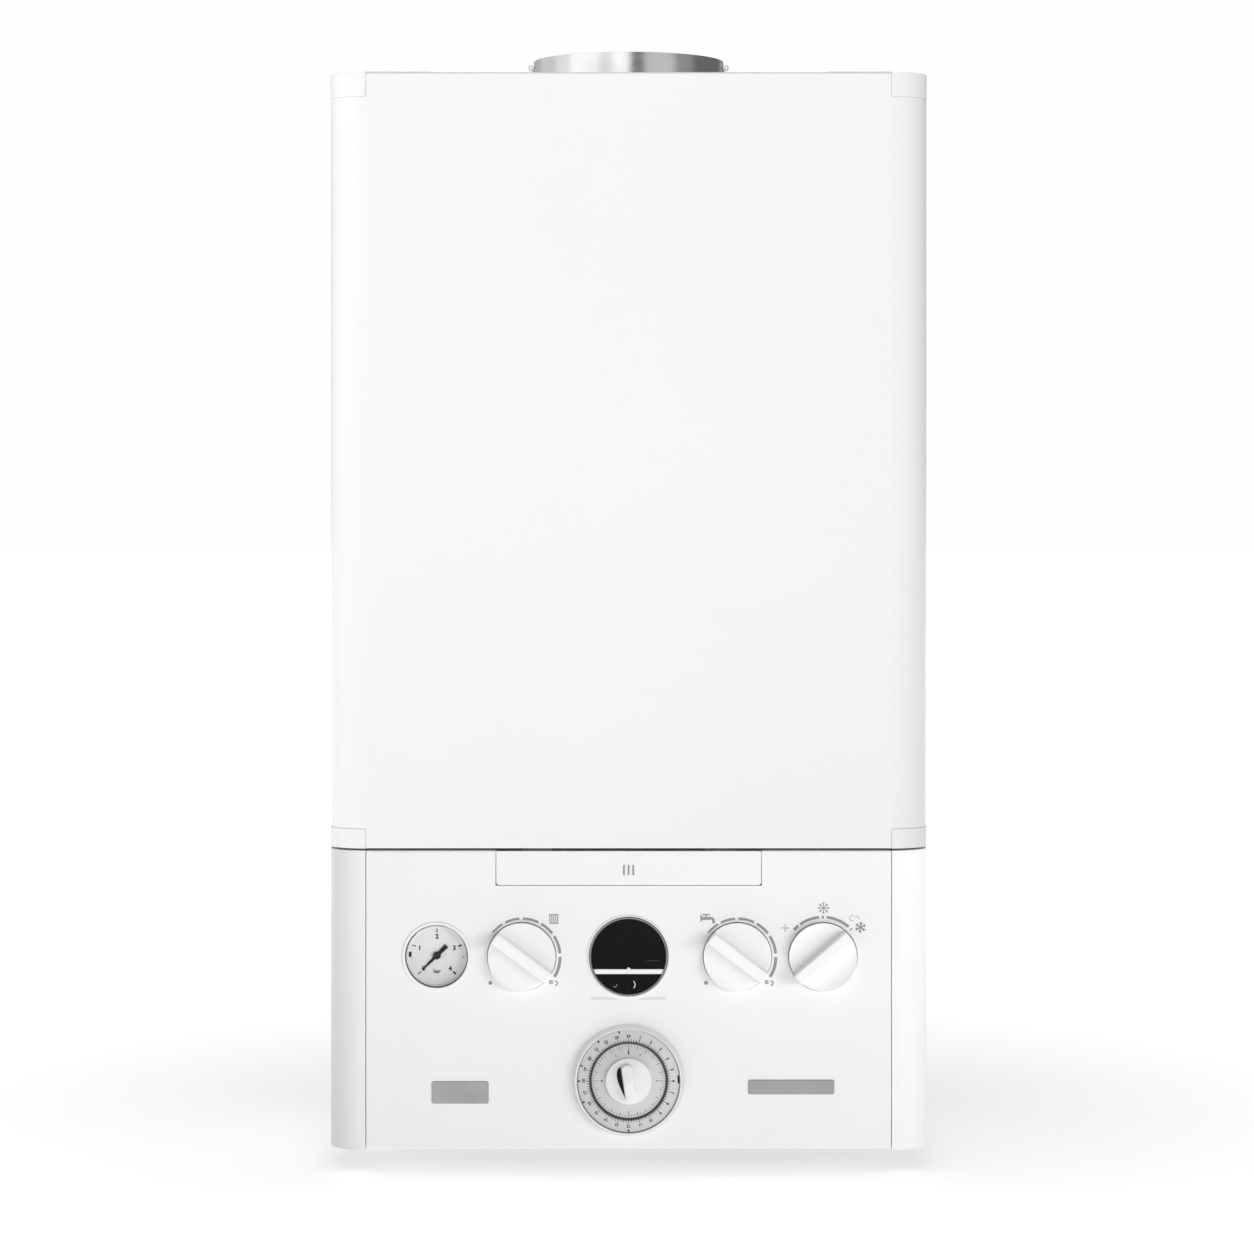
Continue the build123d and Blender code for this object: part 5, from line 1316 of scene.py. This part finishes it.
@dataclass
class WaterScale(TemperatureScale):
    """The scale of the hot-water knob, with a tap.

    Attributes:
        sign: Middle of the tap, from the knob's centre.
    """

    kind: str = "hot_water"
    sign: Point = (-0.0200, 0.0241)

    def pictogram(self, layer: PrintLayer) -> None:
        """Draws a tap: handle, stem, body, flange and spout.

        Args:
            layer: The layer to draw on.
        """
        x, z = self.sign
        layer.bar((x - 0.0004, z + 0.0030), 0.0050, 0.0009)
        layer.bar((x - 0.0004, z + 0.0021), 0.0010, 0.0009)
        layer.bar((x - 0.0002, z + 0.0006), 0.0058, 0.0020)
        layer.bar((x - 0.0036, z + 0.0006), 0.0010, 0.0040)
        layer.arc(0.0010, 0.0017, 90.0, 0.0, centre=(x + 0.0027, z - 0.0011))
        layer.bar((x + 0.00455, z - 0.0019), 0.0017, 0.0016)


@dataclass
class ModeScale(SubAssembly):
    """The mode knob with its arcs and season signs.

    Attributes:
        sun: Middle of the sun, from the knob's centre.
        plus_size: Length and width of the plus sign's bars.
    """

    COATS = {Slot.KNOB_WHITE: ("knob_mode",)}

    arc_inner: float = 0.0246
    arc_thick: float = 0.0018
    arcs: tuple[Point, ...] = ((137.5, 128.4), (125.7, 95.3), (84.5, 48.9))
    marks: tuple[Tick, ...] = (
        Tick(90.0, 0.0246, 0.0264, 0.0014), Tick(44.0, 0.0246, 0.0262, 0.0009),
    )
    sun: Point = (0.0004, 0.0314)
    snow: Point = (0.0244, 0.0189)
    plus: Point = (-0.0244, 0.0185)
    plus_size: Point = (0.0052, 0.0007)
    drops: Point = (0.0192, 0.0249)

    def trim(self) -> None:
        """Prints the arcs and the signs."""
        centre = centre_of("knob_mode")
        face = front_of("fascia_ends")
        layer = PrintLayer("mode_scale", centre, face)
        for start, end in self.arcs:
            layer.arc(self.arc_inner, self.arc_thick, start, end)
        for mark in self.marks:
            layer.tick(*mark)
        layer.dot(self.sun, 0.0010)
        layer.star(self.sun, 8, 0.0012, 0.0030, 0.0006)
        layer.beads(self.sun, 8, 90.0, 0.0030)
        layer.star(self.snow, 6, 0.0, 0.0036, 0.0009)
        layer.beads(self.snow, 6, 15.0, 0.0026)
        self.lay(layer, Ink.SCALE)
        faint = PrintLayer("mode_faint_signs", centre, face)
        faint.bar(self.plus, *self.plus_size)
        faint.bar(self.plus, *reversed(self.plus_size))
        faint.arc(0.0015, 0.0005, 60.0, 300.0, centre=self.drops)
        faint.arc(0.0009, 0.0005, -60.0, 170.0,
                  centre=(self.drops[0] + 0.0030, self.drops[1] + 0.0002))
        self.lay(faint, Ink.FAINT)


@dataclass
class DisplayWindow(SubAssembly):
    """The round display: black window and keys in a plated ring, split by a white bar.

    Attributes:
        icon_drop: From the display's centre down to the key signs.
        nib_depth: How far the nib reaches into the white bar.
    """

    COATS = {
        Slot.MOULDING_WHITE: ("display_frame",),
        Slot.DARK_CHROME: ("display_ring",),
        Slot.GLASS_BLACK: ("display_lens",),
        Slot.KEY_BLACK: ("key_restart", "key_preheat"),
    }

    icon_drop: float = 0.0187
    restart_place: float = -0.0088
    preheat_place: float = 0.0030
    legend: Point = (0.0158, -0.0028)
    legend_size: Point = (0.0082, 0.0004)
    nib_drop: float = 0.0082
    nib_radius: float = 0.0011
    nib_depth: float = 0.0009
    strip_half_length: float = 0.0242
    strip_drop: float = 0.0270
    strip_lift: float = 0.00003
    strip_half_width: float = 0.0011

    def trim(self) -> None:
        """Adds the signs, the legend, the nib and the strip."""
        centre = centre_of("display_ring")
        self.key_signs(centre)
        legend = PrintLayer("window_legend", centre, front_of("display_lens"))
        legend.bar(self.legend, *self.legend_size)
        self.lay(legend, Ink.SMOKE)
        nib = PrintLayer("bar_nib", (0.0, centre[1] - self.nib_drop), front_of("display_frame"),
                         lift=0.0, sink=self.nib_depth)
        nib.polygon(polar(self.nib_radius, angle) for angle in range(0, 181, 15))
        self.lay(nib, Slot.MOULDING_WHITE)
        self.pale_strip(centre)

    def key_signs(self, centre: Point) -> None:
        """A round arrow on the restart key and a chevron on the preheat key.

        Args:
            centre: The display's centre.
        """
        arrow = PrintLayer("restart_sign", centre, front_of("key_restart"))
        x, z = self.restart_place, -self.icon_drop
        arrow.arc(0.0010, 0.0003, 200.0, 350.0, centre=(x, z))
        arrow.polygon([(x + 0.0007, z), (x + 0.0016, z), (x + 0.0012, z + 0.0007)])
        self.lay(arrow, Ink.KEY_DIM, "restart_key")
        chevron = PrintLayer("preheat_sign", centre, front_of("key_preheat"))
        bend = (self.preheat_place - 0.0016, -self.icon_drop + 0.0004)
        chevron.arc(0.0026, 0.0005, -50.0, 50.0, centre=bend)
        self.lay(chevron, Ink.KEY_SIGN, "preheat_key")

    def pale_strip(self, centre: Point) -> None:
        """A pale strip under the display, in two tapered halves.

        Args:
            centre: The display's centre.
        """
        strip = PrintLayer("display_strip", centre, front_of("fascia_ends"), self.strip_lift)
        low = -self.strip_drop - self.strip_half_width
        for side in (-1, 1):
            strip.polygon([
                (side * self.strip_half_length, -self.strip_drop + self.strip_half_width),
                (side * self.strip_half_length, low),
                (side * 0.0060, low),
                (side * 0.0090, -self.strip_drop + 0.0002),
            ])
        self.lay(strip, Ink.PALE)


@dataclass
class HeatingTimer(SubAssembly):
    """The 24-hour timer: programme ring, tappets, inner dial and selector in a conical bezel.

    Attributes:
        rim_block: The broad black mark at the right.
        gap_reach: How far a gap between tappets reaches in from their outer edge.
        quarter_inner: Inner radius of the four longest ticks on the inner dial.
        third_inner: Inner radius of every third tick there.
        fine_inner: Inner radius of the other ticks there.
        pointers: The bold marks inside the ticks.
        grip_rise: How far the grip stands above the selector's face.
        inlay_skew: Below 1, the painted shadow beside the grip is widest nearer to its upper end.
    """

    COATS = {Slot.TAPPET_DARK: ("timer_tappets",)}

    lift: float = 0.00004
    hours: int = 24
    figure_radius: float = 0.0291
    figure_size: float = 0.0026
    tick_inner: float = 0.0260
    hour_outer: float = 0.0278
    quarter_outer: float = 0.0272
    hour_width: float = 0.00040
    quarter_width: float = 0.00030
    rim_inner: float = 0.0313
    rim_outer: float = 0.0329
    rim_width: float = 0.0010
    rim_marks: tuple[float, ...] = (101.0, 127.5, 162.0, 180.0, 205.0, 270.0)
    rim_block: Tick = Tick(2.0, 0.0317, 0.0329, 0.0052)
    gap_reach: float = 0.0006
    gap_width: float = 0.00045
    gap_lift: float = 0.00003
    dial_ticks: int = 72
    dial_outer: float = 0.0234
    quarter_inner: float = 0.0194
    third_inner: float = 0.0207
    fine_inner: float = 0.0218
    third_width: float = 0.00034
    fine_width: float = 0.00024
    pointers: tuple[Tick, ...] = (
        Tick(90.0, 0.0173, 0.0194, 0.0008),
        Tick(180.0, 0.0168, 0.0179, 0.0010),
        Tick(0.0, 0.0179, 0.0187, 0.0007),
        Tick(117.0, 0.0176, 0.0189, 0.0004),
        Tick(66.0, 0.0178, 0.0190, 0.0005),
    )
    grip_turn: float = 98.3
    grip_half: float = 0.0037
    grip_rise: float = 0.0064
    # Painted shadow of the selector's grip, drawn as a black crescent.
    inlay_half: float = 0.0105
    inlay_width: float = 0.0034
    inlay_skew: float = 0.6

    def trim(self) -> None:
        """Dresses the silver parts and prints the rings."""
        middle = centre_of("timer_case")
        bezel = SilverLacquer((0.86, 0.86, 0.86), 0.85)
        dial = SilverLacquer((0.64, 0.64, 0.64), 0.1, crown=Crown(middle, fall=0.009, share=0.002))
        knob = Moulded((0.80, 0.80, 0.80), 0.28, 0.36, 0.0006,
                       crown=Crown(middle, fall=0.007, share=0.001))
        self.wear(self.palette.made("bezel_silver", bezel), "timer_case")
        self.wear(self.palette.made("dial_silver_crowned", dial), "timer_dial", "timer_ring")
        self.wear(self.palette.made("selector_white", knob), "timer_selector")
        self.pointer_inlay()
        self.programme_print()
        self.rim_print()
        self.tappet_gaps()
        self.dial_print()

    def pointer_inlay(self) -> None:
        """Painted shadow: a black crescent on the selector's face along the left of its grip, where
        the grip's shade falls.
        """
        face = front_of("timer_selector") + self.grip_rise
        layer = PrintLayer("selector_painted_shadow", centre_of("timer_selector"), face, self.lift)
        steps = 14
        straight = []
        curved = []
        for step in range(steps + 1):
            share = step / steps
            along = self.inlay_half * (1 - 2 * share)
            straight.append((along, self.grip_half))
            if 0 < step < steps:
                bulge = self.inlay_width * sin(pi * share ** self.inlay_skew)
                curved.append((along, self.grip_half + bulge))
        layer.polygon(turned(straight + curved[::-1], self.grip_turn))
        self.lay(layer, Ink.TIMER_BLACK, "override")

    def programme_print(self) -> None:
        """Hour figures and quarter-hour ticks on the programme ring."""
        layer = layer_on("timer_ring", "timer_hours", self.lift)
        quarters = self.hours * 4
        for index in range(quarters):
            angle = 90.0 - index * 360.0 / quarters
            if index % 4:
                layer.tick(angle, self.tick_inner, self.quarter_outer, self.quarter_width)
            else:
                layer.tick(angle, self.tick_inner, self.hour_outer, self.hour_width)
        for hour in range(1, self.hours + 1):
            angle = 90.0 - hour * 360.0 / self.hours
            spot = polar(self.figure_radius, angle)
            layer.words(str(hour), spot, self.figure_size, angle - 90.0, weight=0.00012)
        self.lay(layer, Ink.TIMER_GREY, "programme_ring")

    def rim_print(self) -> None:
        """Black marks near the rim of the programme ring."""
        layer = layer_on("timer_ring", "timer_rim_marks", self.lift)
        for angle in self.rim_marks:
            layer.tick(angle, self.rim_inner, self.rim_outer, self.rim_width)
        layer.tick(*self.rim_block)
        self.lay(layer, Ink.TIMER_BLACK, "programme_ring")

    def tappet_gaps(self) -> None:
        """Pale gaps between the tappets, one for each quarter of an hour."""
        outer = outer_radius("timer_tappets")
        layer = layer_on("timer_tappets", "timer_tappet_gaps", self.gap_lift)
        quarters = self.hours * 4
        for index in range(quarters):
            layer.tick((index + 0.5) * 360.0 / quarters,
                       outer - self.gap_reach, outer, self.gap_width)
        self.lay(layer, Slot.DIAL_SILVER, "programme_ring")

    def dial_print(self) -> None:
        """Ticks and pointer marks on the inner dial."""
        fine = layer_on("timer_dial", "timer_dial_ticks", self.lift)
        for index in range(self.dial_ticks):
            inner = self.fine_inner
            if index % (self.dial_ticks // 4) == 0:
                inner = self.quarter_inner
            elif index % 3 == 0:
                inner = self.third_inner
            width = self.fine_width if index % 3 else self.third_width
            fine.tick(90.0 - index * 360.0 / self.dial_ticks, inner, self.dial_outer, width)
        self.lay(fine, Ink.TIMER_SOFT)
        bold = layer_on("timer_dial", "timer_pointers", self.lift)
        for pointer in self.pointers:
            bold.tick(*pointer)
        self.lay(bold, Ink.TIMER_BLACK)


class Lit(Enum):
    """What a light falls on."""

    ALL = "the object and the floor"
    OBJECT = "the object"
    CASING = "the casing and the flue collar"
    REST = "the rest of the object"


@dataclass(frozen=True)
class SoftLight:
    """A large rectangular studio light.

    Attributes:
        aim: The point that it faces.
        power: Its power in watts.
        lit: What it falls on.
    """

    name: str
    place: Place
    aim: Place
    size: Point
    power: float
    lit: Lit

    def build(self, pieces: Optional[list[bpy.types.Object]]) -> None:
        """Hangs the light; glossy surfaces do not mirror it.

        Args:
            pieces: The objects that it lights; None for all of them.
        """
        data = bpy.data.lights.new(self.name, "AREA")
        data.shape = "RECTANGLE"
        data.size, data.size_y = self.size
        data.energy = self.power
        lamp = bpy.data.objects.new(self.name, data)
        lamp.location = self.place
        sight = Vector(self.aim) - Vector(self.place)
        lamp.rotation_euler = sight.to_track_quat("-Z", "Y").to_euler()
        lamp.visible_glossy = False
        bpy.context.scene.collection.objects.link(lamp)
        if pieces:
            group = bpy.data.collections.new(self.name + "_lit")
            for piece in pieces:
                group.objects.link(piece)
            lamp.light_linking.receiver_collection = group
        LOG.info("light %s, %.0f W on %s", self.name, self.power, self.lit.value)


@dataclass(frozen=True)
class PhotoCamera:
    """A level camera, square to the front.

    Attributes:
        middle_column: Pixel column of the object's middle.
        eye_row: Pixel row of the eye level.
        base_row: Pixel row of the casing's lower edge.
        pixel: Width of a photograph's pixel in the plane of the front.
        distance: From the camera to that plane.
    """

    image_side: float = 1254.0
    middle_column: float = 628.6
    eye_row: float = 500.0
    base_row: float = 1151.0
    pixel: float = 0.0006487
    distance: float = 2.45
    sensor: float = 36.0

    def build(self) -> None:
        """Sets up the scene's camera."""
        data = bpy.data.cameras.new("photo_camera")
        data.sensor_width = self.sensor
        data.lens = self.sensor * self.distance / (self.image_side * self.pixel)
        data.shift_x = (self.image_side / 2 - self.middle_column) / self.image_side
        data.shift_y = (self.eye_row - self.image_side / 2) / self.image_side
        data.dof.use_dof = False
        camera = bpy.data.objects.new("photo_camera", data)
        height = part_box("case_wrapper")[0].z + (self.base_row - self.eye_row) * self.pixel
        camera.location = (0.0, front_of("fascia_ends") - self.distance, height)
        camera.rotation_euler = (pi / 2, 0.0, 0.0)
        bpy.context.scene.collection.objects.link(camera)
        bpy.context.scene.camera = camera
        LOG.info("camera lens %.1f mm, shift %.3f", data.lens, data.shift_y)


@dataclass(frozen=True)
class Panel:
    """One upright panel of the surroundings."""

    start: float
    light: float


@dataclass
class Studio:
    """White floor and background, with soft panels and lights round the object.

    Attributes:
        floor_glow: How bright the floor glows near the object where no light falls on it; this
            painted light is kept low there, as a painted shade round the object.
        far_glow: The same far away.
        near_edge: How far from the object the near floor ends.
        far_edge: Where the far floor starts.
        panels: The surroundings that light the object and mirror in its metal, from left to right.
        strip_top: Height of the panels, as the sine of their elevation.
        matt_share: Share of the surroundings' light that matt surfaces get.
        backdrop: Brightness of the background that the camera sees.
    """

    CASING = ("case_wrapper", "front_panel", "corner_caps", "flue_collar", "collar_clips")
    MIDDLE = (0.0, -0.15, -0.25)
    CONTROLS = (0.0, -0.29, -0.53)
    CORNER = (-0.2, -0.2, -0.1)

    floor_gap: float = 0.018
    floor_half: float = 30.0
    floor_glow: float = 0.55
    far_glow: float = 1.25
    near_edge: float = 0.22
    far_edge: float = 1.6
    panels: tuple[Panel, ...] = (
        Panel(-180.0, 0.50),
        Panel(-135.0, 0.72),
        Panel(-100.0, 0.95),
        Panel(-75.0, 1.28),
        Panel(-36.0, 0.95),
        Panel(-20.0, 1.25),
        Panel(2.0, 0.12),
        Panel(18.0, 0.62),
        Panel(58.0, 0.30),
        Panel(84.0, 0.14),
        Panel(145.0, 0.32),
    )
    blur: float = 7.0
    overhead: float = 0.36
    strip_top: float = 0.30
    strip_fade: float = 0.06
    matt_share: float = 0.55
    backdrop: float = 0.99
    lights: tuple[SoftLight, ...] = (
        SoftLight("key_casing", (-0.3, -3.0, -0.5), MIDDLE, (1.0, 1.0), 32.0, Lit.CASING),
        SoftLight("fill_casing", (-1.4, -0.4, 0.55), CORNER, (0.6, 0.6), 3.0, Lit.CASING),
        SoftLight("key_controls", (1.2, -2.6, -0.45), CONTROLS, (1.8, 1.2), 21.5, Lit.REST),
        SoftLight("rake_controls", (3.3, -3.0, -0.2), CONTROLS, (2.2, 1.4), 56.0, Lit.REST),
        SoftLight("top_soft", (0.0, -0.2, 2.4), MIDDLE, (2.4, 1.4), 11.0, Lit.ALL),
        SoftLight("top_behind", (0.0, 1.0, 2.2), MIDDLE, (1.6, 0.6), 15.0, Lit.OBJECT),
    )

    def build(self) -> None:
        """Lays the floor and sets the lights."""
        casing = [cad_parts[name] for name in self.CASING]
        pieces = [piece for piece in bpy.context.scene.objects if piece.type == "MESH"]
        rest = [piece for piece in pieces if piece not in casing]
        groups = {Lit.ALL: None, Lit.OBJECT: casing + rest, Lit.CASING: casing, Lit.REST: rest}
        self.floor()
        self.surroundings()
        bpy.context.scene.view_settings.view_transform = "Standard"
        for light in self.lights:
            light.build(groups[light.lit])

    def floor(self) -> None:
        """A wide pale floor that glows more the further it is from the object: painted light that is
        dimmed near the object into a painted shade round it.
        """
        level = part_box("case_wrapper")[0].z - self.floor_gap
        mesh = bmesh.new()
        bmesh.ops.create_grid(mesh, x_segments=8, y_segments=8, size=self.floor_half,
                              matrix=Matrix.Translation((0.0, 0.0, level)))
        data = bpy.data.meshes.new("studio_floor")
        mesh.to_mesh(data)
        mesh.free()
        surface = Surface("studio_floor")
        away = surface.distance(surface.stretched((1.0, 1.0, 0.0)), (0.0, 0.0, 0.0))
        # Painted light and shade: the floor's glow rises with distance from the object.
        glow = surface.spread(away, self.floor_glow, self.far_glow, self.near_edge, self.far_edge)
        surface.shade({
            "Base Color": surface.mixed(surface.noise(size=0.4),
                                        (0.88, 0.88, 0.88), (0.92, 0.92, 0.92)),
            "Roughness": 0.9,
            "Specular IOR Level": 0.0,
            "Emission Color": (1.0, 1.0, 1.0),
            "Emission Strength": glow,
        })
        data.materials.append(surface.material)
        floor = bpy.data.objects.new("studio_floor", data)
        bpy.context.scene.collection.objects.link(floor)

    def surroundings(self) -> None:
        """White to the camera; upright soft panels and a ceiling to the object."""
        world = bpy.data.worlds.new("studio")
        graph = Graph(world, "Generated")
        turn = graph.math("ARCTAN2", graph.axis("X"), graph.math("MULTIPLY", graph.axis("Y"), -1.0))
        ramp = graph.node("ShaderNodeValToRGB", {"Fac": graph.mask(turn, -pi, pi)})
        self.fill_ramp(ramp.color_ramp)
        rise = graph.mask(graph.axis("Z"),
                          self.strip_top - self.strip_fade, self.strip_top + self.strip_fade)
        path = graph.node("ShaderNodeLightPath")
        lit = graph.node("ShaderNodeBackground", {
            "Color": graph.mixed(rise, ramp.outputs["Color"], (self.overhead,) * 3),
            "Strength": graph.spread(path.outputs["Is Diffuse Ray"], 1.0, self.matt_share),
        })
        seen = graph.node("ShaderNodeBackground", {"Color": (self.backdrop,) * 3})
        choice = graph.node("ShaderNodeMixShader", {
            "Fac": path.outputs["Is Camera Ray"],
            1: lit.outputs["Background"],
            2: seen.outputs["Background"],
        })
        graph.node("ShaderNodeOutputWorld", {"Surface": choice.outputs["Shader"]})
        bpy.context.scene.world = world

    def fill_ramp(self, ramp: bpy.types.ColorRamp) -> None:
        """Puts the panels on a ramp that runs once round the object.

        Args:
            ramp: The ramp, from behind by way of the left, the camera and the right.
        """
        for stop, panel in zip(ramp.elements, (self.panels[0], self.panels[-1])):
            stop.color = (panel.light, panel.light, panel.light, 1.0)
        for before, panel in zip(self.panels, self.panels[1:]):
            for shift, light in ((-self.blur / 2, before.light), (self.blur / 2, panel.light)):
                stop = ramp.elements.new((panel.start + shift + 180.0) / 360.0)
                stop.color = (light, light, light, 1.0)


def main() -> None:
    """Dresses every sub-assembly in order, then sets up the studio and the camera."""
    logging.basicConfig(level=logging.INFO, format="%(name)s: %(message)s")
    palette = Palette()
    for kind in (Casing, FlueOutlet, Combustion, WaterSide, ControlFascia, PressureGauge,
                 HeatingScale, WaterScale, ModeScale, DisplayWindow, HeatingTimer):
        kind(palette).build()
        LOG.info("%s done", kind.__name__)
    Studio().build()
    PhotoCamera().build()


if __name__ == "__main__":
    main()
